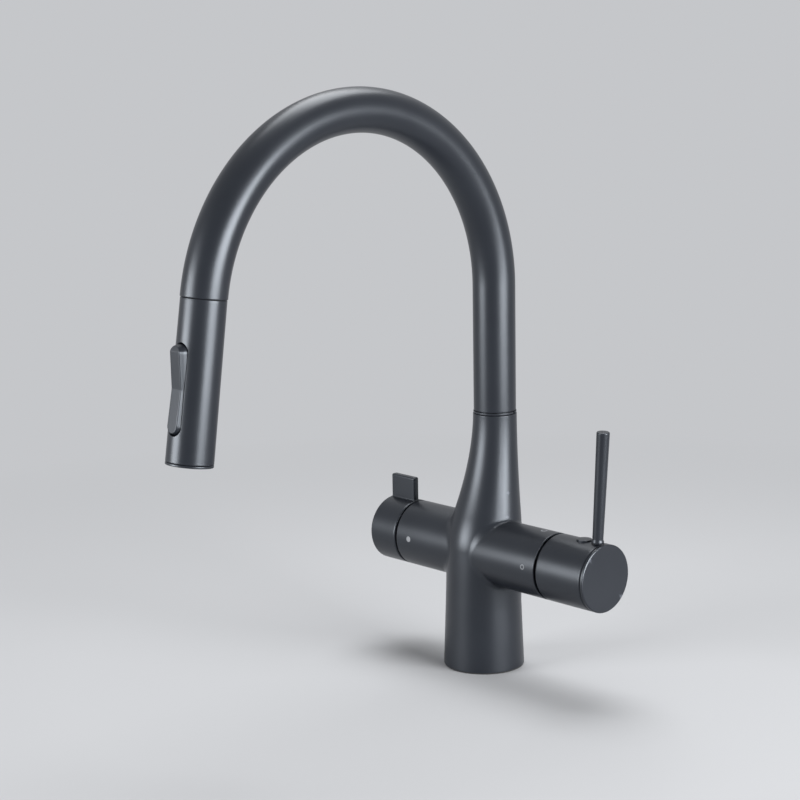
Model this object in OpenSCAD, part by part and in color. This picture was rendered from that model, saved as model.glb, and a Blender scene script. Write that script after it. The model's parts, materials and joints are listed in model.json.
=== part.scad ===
// Kitchen mixer tap with a filtered-water valve, a swivelling gooseneck and a pull-out spray head.
// The origin is the column's centre on the worktop. The spout reaches towards -Y, the mixing
// knob is on +X and the filtered-water knob on -X. Lengths are in millimetres.

/* [Column and arms] */
// Radius of the column at the worktop
base_r = 27; // [26:0.25:30]
// Radius of the column below the arms
column_r = 25.3; // [24.5:0.1:26]
// Height at which the column's taper ends
column_taper_h = 44; // [40:1:50]
// Height of the arms' axis above the worktop
arm_h = 79.5; // [78:0.5:84]
// Radius of the arms and of their knobs
arm_r = 22; // [21.5:0.25:24]
// Distance from the column's axis to the mixing arm's end face
mixer_reach = 66.2; // [64:0.2:74]
// Distance from the column's axis to the filter arm's end face
filter_reach = 61.4; // [58:0.2:70]
// Gap between an arm's end face and its knob
seam = 1.7; // [1.5:0.1:2.5]
// Small bevel on turned edges
edge = 0.5; // [0.2:0.1:0.8]

/* [Neck] */
// Height of the neck's top above the worktop
neck_top_h = 170.2; // [165:0.5:185]
// Radius of the neck at its top
neck_top_r = 14.5; // [14.2:0.1:15.5]
// Distance of the spout's axis behind the column's axis
spout_back = 12.2; // [10.5:0.1:12.4]
// How far out the neck's front would start just above the arms
shoulder_front = 20.2; // [19:0.1:22]
// How softly the column's front turns into the neck's
shoulder_blend = 5; // [2:0.5:7]
// How quickly the neck's front sweeps back
sweep_power = 1.8; // [1.4:0.1:2.4]

/* [Gooseneck] */
// Outer radius of the spout tube
spout_r = 14; // [13.5:0.1:14.2]
// Wall of the spout tube
spout_wall = 1.4; // [1:0.1:1.8]
// Radius of the bend, along the tube's axis
bend_r = 120; // [105:1:135]
// Height of the bend's centre above the worktop
bend_h = 254.8; // [230:1:290]
// Angle through which the tube bends
bend_angle = 171.3; // [165:0.1:175]

/* [Swivel] */
// Outer radius of the spout's spigot
spigot_r = 10.6; // [10:0.1:10.8]
// Bore of the spigot
spigot_bore_r = 8.8; // [8:0.1:9]
// Depth of the spigot in the neck
spigot_depth = 39; // [36:0.5:44]
// Wall of the swivel bushes
bush_wall = 1.35; // [1.2:0.05:1.6]
// Length of each swivel bush
bush_len = 9; // [6:0.5:10]
// Height of the split ring under the spout
ring_t = 1.7; // [1.2:0.1:2.5]
// Width of the gap in the split ring
ring_gap = 1.2; // [0.8:0.1:3]
// Half of the spout's swing
swing_angle = 60; // [30:1:75]

/* [Spray head] */
// Length of the spray head
head_len = 97.8; // [92:0.2:115]
// Radius of the head at its top
head_top_r = 13.7; // [13.5:0.1:14]
// Radius of the head at its outlet
head_end_r = 14.3; // [14:0.1:15]
// Bore of the head's shell
head_bore_r = 12.1; // [11.9:0.05:12.3]
// Height of the ring round the outlet
face_ring_t = 1.2; // [1:0.1:2.5]
// Radius of the aerator
aerator_r = 5.9; // [5:0.1:6.2]
// Number of spray nozzles
nozzle_count = 16; // [8:1:20]
// Width of the rocker button
rocker_w = 10; // [8:0.5:10.5]
// Length of the rocker button
rocker_len = 52.9; // [50:0.1:56]
// Distance from the head's top to the rocker's top end
rocker_top = 26.9; // [25:0.1:29]
// Tilt of the rocker's raised half
rocker_tilt = 9.3; // [7:0.1:10]
// Tilt of the rocker's pressed half
rocker_low_tilt = 2.4; // [1.5:0.1:3]
// Radius of the diverter spool
spool_r = 3; // [2.8:0.05:3.2]

/* [Mixing knob] */
// Length of the mixing knob's sleeve
mixer_knob_len = 38; // [36:0.5:46]
// Wall of the knobs
knob_wall = 3.4; // [3:0.1:3.6]
// Thickness of the end disc
end_disc_t = 2; // [1.5:0.1:4]
// Groove between the sleeve and the end disc
end_groove = 0.5; // [0.3:0.1:0.8]
// Length of the pin lever
lever_len = 72.5; // [50:0.5:90]
// Radius of the pin lever at its foot
lever_foot_r = 3.6; // [3.2:0.1:4]
// Radius of the pin lever at its tip
lever_tip_r = 4.2; // [3.6:0.1:5]
// Outward lean of the pin lever
lever_lean = 3.5; // [0:0.5:6]
// Distance from the sleeve's outer end to the lever's foot
lever_inset = 4.2; // [4.1:0.1:5]
// Radius of the plug over the grub screw
plug_r = 5; // [3.8:0.1:5.4]
// Distance from the lever's foot to the plug
plug_pitch = 11.2; // [10.5:0.1:13]
// Opening tilt of the mixing knob
open_angle = 12; // [6:0.5:12]
// Radius of the pivot pin that the knob rocks on
rock_pin_r = 1.5; // [1.2:0.1:1.6]

/* [Filter knob] */
// Length of the filter knob
filter_knob_len = 24; // [22:0.5:30]
// Thickness of the filter knob's end wall
filter_end_t = 6; // [4:0.5:8]
// Height of the paddle above the knob
paddle_h = 16; // [10:0.5:22]
// Thickness of the paddle
paddle_t = 4.8; // [3.5:0.1:6]
// Width of the paddle along the knob
paddle_w = 22.4; // [14:0.2:23]

/* [Valves] */
// Distance from the column's axis to the mixing cartridge's seat
mixer_seat = 24; // [22:0.5:25]
// Radius of the mixing cartridge
cartridge_r = 17.5; // [16.5:0.1:17.8]
// Length of the mixing cartridge
cartridge_len = 30; // [26:0.5:32]
// Radius of the mixing cartridge's stem
stem_r = 5.5; // [4.5:0.1:6]
// Distance from the column's axis to the filter valve's seat
filter_seat = 20; // [19:0.5:21]
// Radius of the filter valve
filter_valve_r = 15.8; // [15:0.1:16.5]
// Length of the filter valve
filter_valve_len = 27; // [24:0.5:29]
// Radius of the filter valve's spindle
spindle_r = 4; // [3.5:0.1:5]
// Thickness of the ceramic discs
disc_t = 3; // [2.5:0.1:4]

/* [Inlets] */
// Radius of the threaded ports for the supply hoses
port_r = 4.6; // [4.2:0.1:4.8]
// Depth of the threaded ports
port_depth = 12; // [10:0.5:14]
// Radius of the waterways
way_r = 2.6; // [2:0.1:2.8]
// Radius of the manifold in the column's foot
manifold_r = 19.4; // [18.8:0.1:20]
// Height of the manifold's underside above the worktop
manifold_h = 19.5; // [17:0.5:21]
// Thickness of the manifold
manifold_t = 25; // [23:0.5:27]
// Outer radius of the spray hose
hose_r = 5.2; // [4.6:0.1:5.4]
// Bore of the spray hose
hose_bore_r = 3.4; // [2.5:0.1:3.8]

/* [Fixing] */
// Thickness of the gasket under the column
gasket_t = 0.8; // [0.6:0.1:2]
// Thickness of the worktop that the fixing kit is drawn on
worktop_t = 30; // [10:1:36]
// Radius of the hole that the tap needs in the worktop
worktop_hole_r = 17.5; // [17.5:0.1:18]
// Radius of the fixing stud
stud_r = 4; // [3:0.1:4.1]
// Length of the stud below the worktop's surface
stud_drop = 75; // [72:1:95]
// Outer radius of the horseshoe plate and its rubber
clamp_r = 24.5; // [22.5:0.5:28]
// Thickness of the horseshoe plate
clamp_t = 3; // [2:0.5:4]
// Thickness of the horseshoe rubber
rubber_t = 2.5; // [2:0.5:4]
// Length of the stud nut
stud_nut_len = 16; // [8:1:20]

/* [Hidden] */
$fn = 64;

// Clearances
run = 0.05;
slack = 0.3;
past = 1;

// Neck and column
shoulder_drop = 2.5;
shoulder_h = arm_h + arm_r - shoulder_drop;
neck_back = spout_back + neck_top_r;
neck_front = neck_top_r - spout_back;
neck_rings = 16;
shoulder_rings = 6;
ring_sides = 40;

// Swivel
bush_r = spigot_r + run;
neck_bore_r = bush_r + bush_wall;
spout_foot_h = neck_top_h + ring_t + slack;
spout_bore_r = spout_r - spout_wall;
spigot_foot_h = neck_top_h - spigot_depth;
spigot_rise = 16;
spigot_top_h = spout_foot_h + spigot_rise;
bore_foot_gap = 2;
bore_foot_h = spigot_foot_h - bore_foot_gap;
stop_h = spigot_foot_h + spigot_depth / 2;
stop_tip_r = 1.5;
stop_body_r = 2.2;
seal_r = (bush_wall - run) / 2;
ring_gap_turn = 15;
ring_inner_r = spigot_r + 1.2;
ring_inset = 0.2;
swivel_seal_at = 2;
stop_play = 0.4;
stop_margin = 12;
hex_r = 1.1;
hex_depth = 1.2;

// Hose
passage_r = 9.5;
hose_lean_foot = 10.6;
hose_foot_h = -64;
hose_split_h = spigot_foot_h - 1.5;
coupling_r = 6.8;
coupling_len = 14;
coupling_bore_r = 4.2;
coupling_lap = 4;
dock_angle = 8;
dock_bore_r = 8.4;
nut_top = 12;
nut_lift = 3;
nut_seal_at = 6;
nut_seal_r = 0.6;
tail_tilt_gap = 0.6;
tail_start = (nut_top + slack + tail_tilt_gap) / bend_r * 180 / PI;
tail_end = 13;

// Manifold: hot, cold, filtered and mixed water, then the stud
hot_at = [0, -1.5];
cold_at = [12, -1.5];
filter_at = [-12, -1.5];
mixed_at = [-6, -11];
stud_at = [5.5, -12];
ports = [hot_at, cold_at, filter_at, mixed_at];
inlets = [hot_at, cold_at, filter_at];
cavity_r = manifold_r + run;
manifold_top = manifold_h + manifold_t;
notch_r = hose_r + 0.9;
notch_back = hose_lean_foot + 0.7;
stud_hold = 14;
valve_len = 10;
valve_r = port_r - 0.6;
valve_mouth_wall = 1.6;
valve_mouth_depth = 4;
valve_bore_wall = 2.2;
clip_t = 1.5;
clip_bite = 1.2;
clip_gap = 8;
clip_reach = 1.4;
clip_play = 0.1;
hot_rise = 8.5;
cold_rise = -7.5;
filter_rise = -9.5;
mixed_rise = 0.5;
mixer_ports = [[hot_at[1], hot_rise], [cold_at[1], cold_rise], [mixed_at[1], mixed_rise]];
filter_ports = [[filter_at[1], filter_rise], [mixed_at[1], mixed_rise]];
port_seal_r = way_r + 0.6;
port_seal_t = 0.55;

// Gasket and fixing kit
gasket_inset = 0.6;
gasket_hole_gap = 0.8;
tab_r = 6;
horseshoe_mouth = 20;
rubber_play = 0.2;
stud_nut_wall = 2.8;

// Valves
mixer_bore_r = cartridge_r + run;
mixer_nut_bore_r = 12.8;
mixer_neck_r = 12.5;
filter_bore_r = filter_valve_r + run;
filter_nut_bore_r = 10.3;
filter_neck_r = 10;
valve_wall = 3;
valve_neck = 4;
nut_recess = 2.2;
disc_slot_w = 5;
disc_slot_at = 2;
axle_flange_t = 4;
axle_flange_play = 1;

// Mixing knob
mixer_knob_x = mixer_reach + seam;
mixer_knob_end = mixer_knob_x + mixer_knob_len;
knob_bore_r = arm_r - knob_wall;
mixer_end_wall = 7.9;
mixer_cavity_end = mixer_knob_end - mixer_end_wall;
lever_x = mixer_knob_end - lever_inset;
lever_root_r = 2.5;
lever_root_len = 10;
plug_x = lever_x - plug_pitch;
carrier_hub_r = 9;
carrier_room = 4;
carrier_end = mixer_cavity_end - carrier_room;
stem_room = 2;
stem_end = carrier_end - stem_room;
rock_inset = 3.6;
rock_x = mixer_knob_x + rock_inset;
ear_wall = 1.4;
ear_play = 0.4;
ear_r = rock_pin_r + ear_wall;
ear_w = 8;
rock_drop = sqrt(pow(knob_bore_r, 2) - pow(ear_w / 2, 2)) - ear_r - ear_play;
rock_pin_half = 13.5;
grub_r = 2.5;
grub_hex_r = 1.3;
grub_hex_depth = 1.5;
lever_recess = 0.6;
lever_recess_gap = 0.4;
lever_tip_edge = 0.8;
plug_seat = 0.4;
plug_rise = 0.6;
plug_rim = 0.6;
plug_crown = 0.2;
end_spigot_r = 10;
end_spigot_t = 2.5;

// Filter knob
filter_knob_x = filter_reach + seam;
filter_knob_end = filter_knob_x + filter_knob_len;
filter_hub_r = 8;
spindle_end = filter_knob_end - filter_end_t;
paddle_inset = 0.8;
paddle_x = filter_knob_x + paddle_inset;
paddle_root = 3;
paddle_corner = 0.9;
filter_hub_inset = 2;
filter_screw_r = 2;
filter_screw_x = (filter_knob_x + spindle_end) / 2;

// Spray head, drawn upright with its top at z = 0 and its rocker towards -Y
head_tilt = 180 - bend_angle;
head_back = spout_back - bend_r * (1 - cos(bend_angle));
head_h = bend_h + bend_r * sin(bend_angle);
face_seam = 0.2;
shell_end = head_len - face_ring_t - face_seam;
face_recess = 0.8;
screen_t = 1.2;
insert_r = head_bore_r - 0.1;
insert_top = 4;
face_depth = 8;
insert_end = head_len - face_depth;
screen_hole_r = 0.7;
screen_pitch = 2.2;
socket_r = 6.6;
socket_end = 22;
dock_spigot_r = 7.4;
rocker_mid = rocker_top + rocker_len / 2;
rocker_travel = rocker_tilt - rocker_low_tilt;
rocker_face = 14.4;
rocker_end_lean = 1.7;
rocker_facet_len = 4.4;
rocker_facet_drop = 1.1;
rocker_pivot = 11.2;
rocker_hub_r = 2.2;
rocker_pin_r = 0.9;
rocker_pin_half = 7;
slot_gap = 0.35;
slot_end_gap = 0.7;
pocket_floor = rocker_pivot - rocker_hub_r - 0.5;
finger_reach = 8.2;
finger_r = 1;
finger_w = 1.2;
finger_t = 1.6;
finger_slot_half = 3;
hub_play = 0.2;
spool_len = 18;
spool_room = 4;
spool_bore_r = spool_r + 0.08;
spool_groove = finger_r + slack;
spool_core_r = rocker_pivot - finger_reach - finger_r - slack;
spool_seal_at = 6;
spool_seal_t = 0.4;
spray_way_at = 7.2;
spray_way_r = 2.2;
nozzle_r = 0.9;
nozzle_wall = 0.5;
nozzle_len = 3.4;
nozzle_inset = 0.1;
aerator_play = 0.1;
aerator_recess = 0.5;
aerator_lip = 1.2;
aerator_lip_depth = 0.8;
aerator_hole_r = 0.9;
aerator_bore_wall = 1.5;
nozzle_ring_r = (aerator_r + insert_r) / 2;
chamber_half_w = 2;
chamber_depth = 2;
screw_drop = 6.5;
screw_r = 1.5;
screw_bite = 2;
screw_inset = 0.4;
screw_hex_r = 0.8;
screw_hex_depth = 1;

// A solid of revolution about X, from points [radius, x]
module turned_x(outline) {
    rotate([90, 0, 90])
        rotate_extrude()
            polygon(outline);
}

// A straight bar along X between two values of x
module rod_x(r, x0, x1) {
    translate([x0, 0, 0])
        rotate([0, 90, 0])
            cylinder(r = r, h = x1 - x0);
}

module ring_x(r_out, r_in, x0, x1) {
    difference() {
        rod_x(r_out, x0, x1);
        rod_x(r_in, x0 - past, x1 + past);
    }
}

// A straight bar along Y, centred on y = 0
module rod_y(r, half) {
    rotate([90, 0, 0])
        cylinder(r = r, h = 2 * half, center = true);
}

// A straight bar along Z between two heights
module rod_z(r, z0, z1) {
    translate([0, 0, z0])
        cylinder(r = r, h = z1 - z0);
}

module ring_z(r_out, r_in, z0, z1) {
    difference() {
        rod_z(r_out, z0, z1);
        rod_z(r_in, z0 - past, z1 + past);
    }
}

// An O-ring lying flat
module o_ring(ring_r, wire_r) {
    rotate_extrude()
        translate([ring_r, 0])
            circle(r = wire_r, $fn = 24);
}

module at_arm() {
    translate([0, 0, arm_h])
        children();
}

// The filter side is built on +X and mirrored
module at_filter_arm() {
    translate([0, 0, arm_h])
        mirror([1, 0, 0])
            children();
}

module at_spout() {
    translate([0, spout_back, 0])
        children();
}

module at_head() {
    translate([0, head_back, head_h])
        rotate([-head_tilt, 0, 0])
            children();
}

// Part of the bend, from one angle to another, of the section given as a 2D child
module bend(from, to) {
    translate([0, spout_back - bend_r, bend_h])
        rotate([90, 0, 90])
            rotate([0, 0, from])
                rotate_extrude(angle = to - from)
                    translate([bend_r, 0])
                        children();
}

module pipe_section(r_out, r_in) {
    difference() {
        circle(r = r_out);
        circle(r = r_in);
    }
}

// Column and neck: circles whose front and back follow two curves
function mix(a, b, t) = a + (b - a) * min(1, max(0, t));
function soft_share(a, b, soft) = min(1, max(0, (1 + (b - a) / soft) / 2));
function soft_min(a, b, soft, share) = b + (a - b) * share - soft * share * (1 - share);
function taper_at(z) = base_r - (base_r - column_r) * z / column_taper_h;
function sweep_left(z) = max(0, (neck_top_h - z) / (neck_top_h - shoulder_h));
function sweep_at(z) = neck_front + (shoulder_front - neck_front) * pow(sweep_left(z), sweep_power);
function front_at(z) = soft_min(
    taper_at(z), sweep_at(z), shoulder_blend, soft_share(taper_at(z), sweep_at(z), shoulder_blend)
);
function back_at(z) = z <= column_taper_h
    ? taper_at(z)
    : mix(column_r, neck_back, (z - column_taper_h) / (shoulder_h - column_taper_h));
function ring_points(z) = [
    for (k = [0 : ring_sides - 1])
        [(front_at(z) + back_at(z)) / 2 * cos(360 * k / ring_sides),
         (front_at(z) + back_at(z)) / 2 * sin(360 * k / ring_sides) + (back_at(z) - front_at(z)) / 2,
         z]
];
ring_heights = concat(
    [gasket_t, column_taper_h, arm_h],
    [for (i = [1 : shoulder_rings]) mix(arm_h, shoulder_h, i / shoulder_rings)],
    [for (i = [1 : neck_rings]) mix(shoulder_h, neck_top_h, i / neck_rings)]
);

module column_and_neck() {
    last = len(ring_heights) - 1;
    n = ring_sides;
    polyhedron(
        points = [for (z = ring_heights) each ring_points(z)],
        faces = concat(
            [[for (k = [0 : n - 1]) k]],
            [[for (k = [0 : n - 1]) last * n + n - 1 - k]],
            [for (i = [0 : last - 1], k = [0 : n - 1])
                [i * n + k, (i + 1) * n + k, (i + 1) * n + (k + 1) % n]],
            [for (i = [0 : last - 1], k = [0 : n - 1])
                [i * n + k, (i + 1) * n + (k + 1) % n, i * n + (k + 1) % n]]
        )
    );
}

// Drillings that lead from a port up to a height over the arms' axis, and across to the valves
module waterway_up(at, rise) {
    translate([at[0], at[1], 0])
        rod_z(way_r, manifold_top - past, arm_h + rise);
}

module waterway_across(y, rise, x0, x1) {
    translate([0, y, arm_h + rise])
        rod_x(way_r, x0, x1);
}

module body_casting() {
    color([0.13, 0.14, 0.16])
    difference() {
        union() {
            column_and_neck();
            at_arm()
                turned_x([
                    [0, -filter_reach], [arm_r - edge, -filter_reach], [arm_r, edge - filter_reach],
                    [arm_r, mixer_reach - edge], [arm_r - edge, mixer_reach], [0, mixer_reach]
                ]);
        }
        rod_z(cavity_r, -past, manifold_top);
        rod_z(cavity_r + clip_bite, manifold_h - clip_t - clip_play, manifold_h);
        at_spout() {
            rod_z(passage_r, manifold_top - past, bore_foot_h + past);
            rod_z(neck_bore_r, bore_foot_h, neck_top_h + past);
            translate([0, 0, stop_h])
                rotate([-90, 0, 0])
                    cylinder(r = stop_body_r, h = neck_back);
        }
        at_arm() {
            rod_x(mixer_bore_r, mixer_seat, mixer_reach + past);
            rod_x(filter_bore_r, -filter_reach - past, -filter_seat);
        }
        waterway_up(hot_at, hot_rise);
        waterway_up(cold_at, cold_rise);
        waterway_up(filter_at, filter_rise);
        waterway_up(mixed_at, mixed_rise);
        waterway_across(hot_at[1], hot_rise, hot_at[0], mixer_seat + past);
        waterway_across(cold_at[1], cold_rise, cold_at[0], mixer_seat + past);
        waterway_across(filter_at[1], filter_rise, -filter_seat - past, filter_at[0]);
        waterway_across(mixed_at[1], mixed_rise, -filter_seat - past, mixer_seat + past);
    }
}

module deck_gasket() {
    color([0.05, 0.05, 0.05])
    ring_z(base_r - gasket_inset, worktop_hole_r + gasket_hole_gap, 0, gasket_t);
}

module inlet_manifold() {
    color([0.75, 0.6, 0.3])
    difference() {
        rod_z(manifold_r, manifold_h, manifold_top);
        translate([0, notch_back, 0])
            rod_z(notch_r, manifold_h - past, manifold_top + past);
        for (p = ports)
            translate([p[0], p[1], 0]) {
                rod_z(port_r, manifold_h - past, manifold_h + port_depth);
                rod_z(way_r, manifold_h, manifold_top + past);
                rod_z(port_seal_r + port_seal_t, manifold_top - 2 * port_seal_t, manifold_top + past);
            }
        for (p = inlets)
            translate([p[0], p[1], 0])
                rod_z(valve_r, manifold_h, manifold_h + port_depth + valve_len);
        translate([stud_at[0], stud_at[1], 0])
            rod_z(stud_r, manifold_h - past, manifold_h + stud_hold);
    }
}

module manifold_seals() {
    color([0.05, 0.05, 0.05])
    for (p = ports)
        translate([p[0], p[1], manifold_top - port_seal_t])
            o_ring(port_seal_r, port_seal_t - 0.01);
}

module manifold_clip() {
    color([0.7, 0.7, 0.72])
    difference() {
        ring_z(cavity_r + clip_bite - clip_play, cavity_r - clip_reach, manifold_h - clip_t, manifold_h);
        translate([-clip_gap / 2, 0, manifold_h - clip_t - past])
            cube([clip_gap, manifold_r + clip_gap, clip_t + 2 * past]);
    }
}

module check_valves() {
    color([0.85, 0.85, 0.82])
    for (p = inlets)
        translate([p[0], p[1], 0])
            difference() {
                rod_z(valve_r, manifold_h + port_depth, manifold_h + port_depth + valve_len);
                rod_z(valve_r - valve_mouth_wall, manifold_h + port_depth - past,
                      manifold_h + port_depth + valve_mouth_depth);
                rod_z(valve_r - valve_bore_wall, manifold_h + port_depth, manifold_top);
            }
}

module fixing_stud() {
    color([0.7, 0.7, 0.72])
    translate([stud_at[0], stud_at[1], 0])
        union() {
            rod_z(stud_r, edge - stud_drop, manifold_h + stud_hold);
            translate([0, 0, -stud_drop])
                cylinder(r1 = stud_r - edge, r2 = stud_r, h = edge);
        }
}

// A horseshoe that bears on the worktop round its hole, with a tab for the stud
module horseshoe(hole_r) {
    difference() {
        union() {
            difference() {
                circle(r = clamp_r);
                circle(r = worktop_hole_r - slack);
                translate([-horseshoe_mouth / 2, 0])
                    square([horseshoe_mouth, clamp_r + past]);
            }
            intersection() {
                circle(r = clamp_r);
                translate([stud_at[0] - tab_r, stud_at[1] - clamp_r])
                    square([2 * tab_r, clamp_r]);
            }
            translate(stud_at)
                circle(r = tab_r);
        }
        translate(stud_at)
            circle(r = hole_r);
    }
}

module clamp_rubber() {
    color([0.06, 0.06, 0.06])
    translate([0, 0, -worktop_t - rubber_t])
        linear_extrude(rubber_t)
            horseshoe(stud_r + rubber_play);
}

module clamp_plate() {
    color([0.7, 0.7, 0.72])
    translate([0, 0, -worktop_t - rubber_t - clamp_t])
        linear_extrude(clamp_t)
            horseshoe(stud_r + slack);
}

module stud_nut() {
    color([0.75, 0.6, 0.3])
    translate([stud_at[0], stud_at[1], -worktop_t - rubber_t - clamp_t - stud_nut_len])
        difference() {
            cylinder(r = stud_r + stud_nut_wall, h = stud_nut_len, $fn = 6);
            rod_z(stud_r + run, -past, stud_nut_len + past);
        }
}

// The hose leans forward a little on its way down through the worktop's hole
module along_riser() {
    lean = atan((spout_back - hose_lean_foot) / (hose_split_h - hose_foot_h));
    translate([0, hose_lean_foot, hose_foot_h])
        rotate([-lean, 0, 0])
            children();
}

module hose_riser() {
    color([0.35, 0.36, 0.38])
    along_riser()
        ring_z(hose_r, hose_bore_r, 0, hose_split_h - hose_foot_h - slack);
}

module hose_coupling() {
    color([0.75, 0.6, 0.3])
    along_riser()
        difference() {
            translate([0, 0, coupling_lap - coupling_len])
                cylinder(r = coupling_r, h = coupling_len, $fn = 6);
            rod_z(hose_r, 0, coupling_lap + past);
            rod_z(coupling_bore_r, coupling_lap - coupling_len - past, past);
        }
}

module upper_bush() {
    color([0.85, 0.85, 0.82])
    at_spout()
        ring_z(neck_bore_r, bush_r, neck_top_h - bush_len, neck_top_h);
}

module lower_bush() {
    color([0.85, 0.85, 0.82])
    at_spout()
        ring_z(neck_bore_r, bush_r, spigot_foot_h, spigot_foot_h + bush_len);
}

module swivel_o_rings() {
    color([0.05, 0.05, 0.05])
    at_spout()
        for (z = [spigot_foot_h + bush_len + swivel_seal_at, neck_top_h - bush_len - swivel_seal_at])
            translate([0, 0, z])
                o_ring(bush_r + bush_wall / 2, seal_r);
}

module swivel_ring() {
    color([0.1, 0.1, 0.11])
    at_spout()
        difference() {
            ring_z(neck_top_r - ring_inset, ring_inner_r, neck_top_h, neck_top_h + ring_t);
            rotate([0, 0, ring_gap_turn])
                translate([0, -ring_gap / 2, neck_top_h - past])
                    cube([neck_top_r + past, ring_gap, ring_t + 2 * past]);
        }
}

module swing_stop_screw() {
    color([0.6, 0.6, 0.62])
    at_spout()
        translate([0, 0, stop_h])
            rotate([-90, 0, 0])
                difference() {
                    union() {
                        rod_z(stop_body_r, spigot_r + stop_play, neck_top_r - stop_play);
                        rod_z(stop_tip_r, spigot_bore_r + stop_play, spigot_r + stop_play);
                    }
                    translate([0, 0, neck_top_r - stop_play - hex_depth])
                        cylinder(r = hex_r, h = hex_depth + past, $fn = 6);
                }
}

// A ceramic valve on +X: housing, with round ports in its base and a round neck
module valve_housing(r, seat, length, neck_r, axle_r, holes) {
    difference() {
        union() {
            rod_x(r, seat, seat + length);
            rod_x(neck_r, seat + length - past, seat + length + valve_neck);
        }
        rod_x(r - valve_wall, seat + valve_wall, seat + length - valve_wall);
        rod_x(axle_r + run, seat + valve_wall, seat + length + valve_neck + past);
        for (p = holes)
            translate([0, p[0], p[1]]) {
                rod_x(way_r, seat - past, seat + valve_wall + past);
                rod_x(port_seal_r + port_seal_t, seat - past, seat + 2 * port_seal_t);
            }
    }
}

module valve_fixed_disc(r, seat, holes) {
    difference() {
        rod_x(r - valve_wall, seat + valve_wall, seat + valve_wall + disc_t);
        for (p = holes)
            translate([0, p[0], p[1]])
                rod_x(way_r, seat, seat + valve_wall + disc_t + past);
    }
}

module valve_moving_disc(r, seat) {
    start = seat + valve_wall + disc_t + run;
    difference() {
        rod_x(r - valve_wall - slack, start, start + disc_t);
        translate([start - past, -disc_slot_w / 2, disc_slot_at])
            cube([past + disc_t / 2, disc_slot_w, r - valve_wall - 2 * disc_slot_at]);
    }
}

module valve_axle(r, seat, axle_r, end) {
    start = seat + valve_wall + 2 * disc_t + run;
    union() {
        rod_x(r - valve_wall - axle_flange_play, start, start + axle_flange_t);
        rod_x(axle_r, start + axle_flange_t - past, end);
    }
}

module valve_seals(seat, holes) {
    for (p = holes)
        translate([seat + port_seal_t, p[0], p[1]])
            rotate([0, 90, 0])
                o_ring(port_seal_r, port_seal_t - 0.01);
}

module mixer_cartridge() {
    color([0.85, 0.85, 0.82])
    at_arm()
        valve_housing(cartridge_r, mixer_seat, cartridge_len, mixer_neck_r, stem_r, mixer_ports);
}

module mixer_fixed_disc() {
    color([0.95, 0.95, 0.93])
    at_arm()
        valve_fixed_disc(cartridge_r, mixer_seat, mixer_ports);
}

module mixer_seals() {
    color([0.05, 0.05, 0.05])
    at_arm()
        valve_seals(mixer_seat, mixer_ports);
}

module mixer_cartridge_nut() {
    color([0.3, 0.3, 0.32])
    at_arm()
        ring_x(mixer_bore_r - run, mixer_nut_bore_r, mixer_seat + cartridge_len, mixer_reach - nut_recess);
}

module filter_valve() {
    color([0.75, 0.6, 0.3])
    at_filter_arm()
        valve_housing(filter_valve_r, filter_seat, filter_valve_len, filter_neck_r, spindle_r, filter_ports);
}

module filter_fixed_disc() {
    color([0.95, 0.95, 0.93])
    at_filter_arm()
        valve_fixed_disc(filter_valve_r, filter_seat, filter_ports);
}

module filter_seals() {
    color([0.05, 0.05, 0.05])
    at_filter_arm()
        valve_seals(filter_seat, filter_ports);
}

module filter_valve_nut() {
    color([0.3, 0.3, 0.32])
    at_filter_arm()
        ring_x(filter_bore_r - run, filter_nut_bore_r, filter_seat + filter_valve_len,
               filter_reach - nut_recess);
}

module spout_tube() {
    color([0.13, 0.14, 0.16])
    union() {
        at_spout()
            ring_z(spout_r, spout_bore_r, spout_foot_h, bend_h);
        bend(0, bend_angle)
            pipe_section(spout_r, spout_bore_r);
    }
}

module spout_spigot() {
    slot_half = swing_angle + stop_margin;
    color([0.75, 0.6, 0.3])
    at_spout()
        difference() {
            union() {
                rod_z(spigot_r, spigot_foot_h, spout_foot_h + past);
                rod_z(spout_bore_r, spout_foot_h, spigot_top_h);
            }
            rod_z(spigot_bore_r, spigot_foot_h - past, spigot_top_h + past);
            translate([0, 0, stop_h - stop_tip_r - slack])
                rotate([0, 0, 90 - slot_half])
                    rotate_extrude(angle = 2 * slot_half)
                        translate([spigot_bore_r - past, 0])
                            square([spigot_r - spigot_bore_r + 2 * past, 2 * (stop_tip_r + slack)]);
        }
}

module dock_collar() {
    color([0.12, 0.12, 0.13])
    bend(bend_angle - dock_angle, bend_angle)
        pipe_section(spout_bore_r, dock_bore_r);
}

module spray_hose() {
    color([0.35, 0.36, 0.38])
    union() {
        at_spout()
            ring_z(hose_r, hose_bore_r, hose_split_h, bend_h);
        bend(0, bend_angle - tail_end)
            pipe_section(hose_r, hose_bore_r);
    }
}

module hose_tail() {
    color([0.35, 0.36, 0.38])
    bend(bend_angle - tail_end + 0.1, bend_angle - tail_start)
        pipe_section(hose_r, hose_bore_r);
}

module hose_nut() {
    color([0.75, 0.6, 0.3])
    at_head()
        difference() {
            union() {
                rod_z(dock_spigot_r, -insert_top, nut_top);
                rod_z(socket_r, nut_lift - socket_end, -insert_top + past);
            }
            rod_z(hose_bore_r, -socket_end, nut_top + past);
            translate([0, 0, nut_seal_at - socket_end])
                ring_z(socket_r + past, socket_r - 2 * nut_seal_r, -1.5 * nut_seal_r, 1.5 * nut_seal_r);
        }
}

module hose_nut_seal() {
    color([0.05, 0.05, 0.05])
    at_head()
        translate([0, 0, nut_seal_at - socket_end])
            o_ring(socket_r - nut_seal_r, nut_seal_r - 0.02);
}

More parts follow.
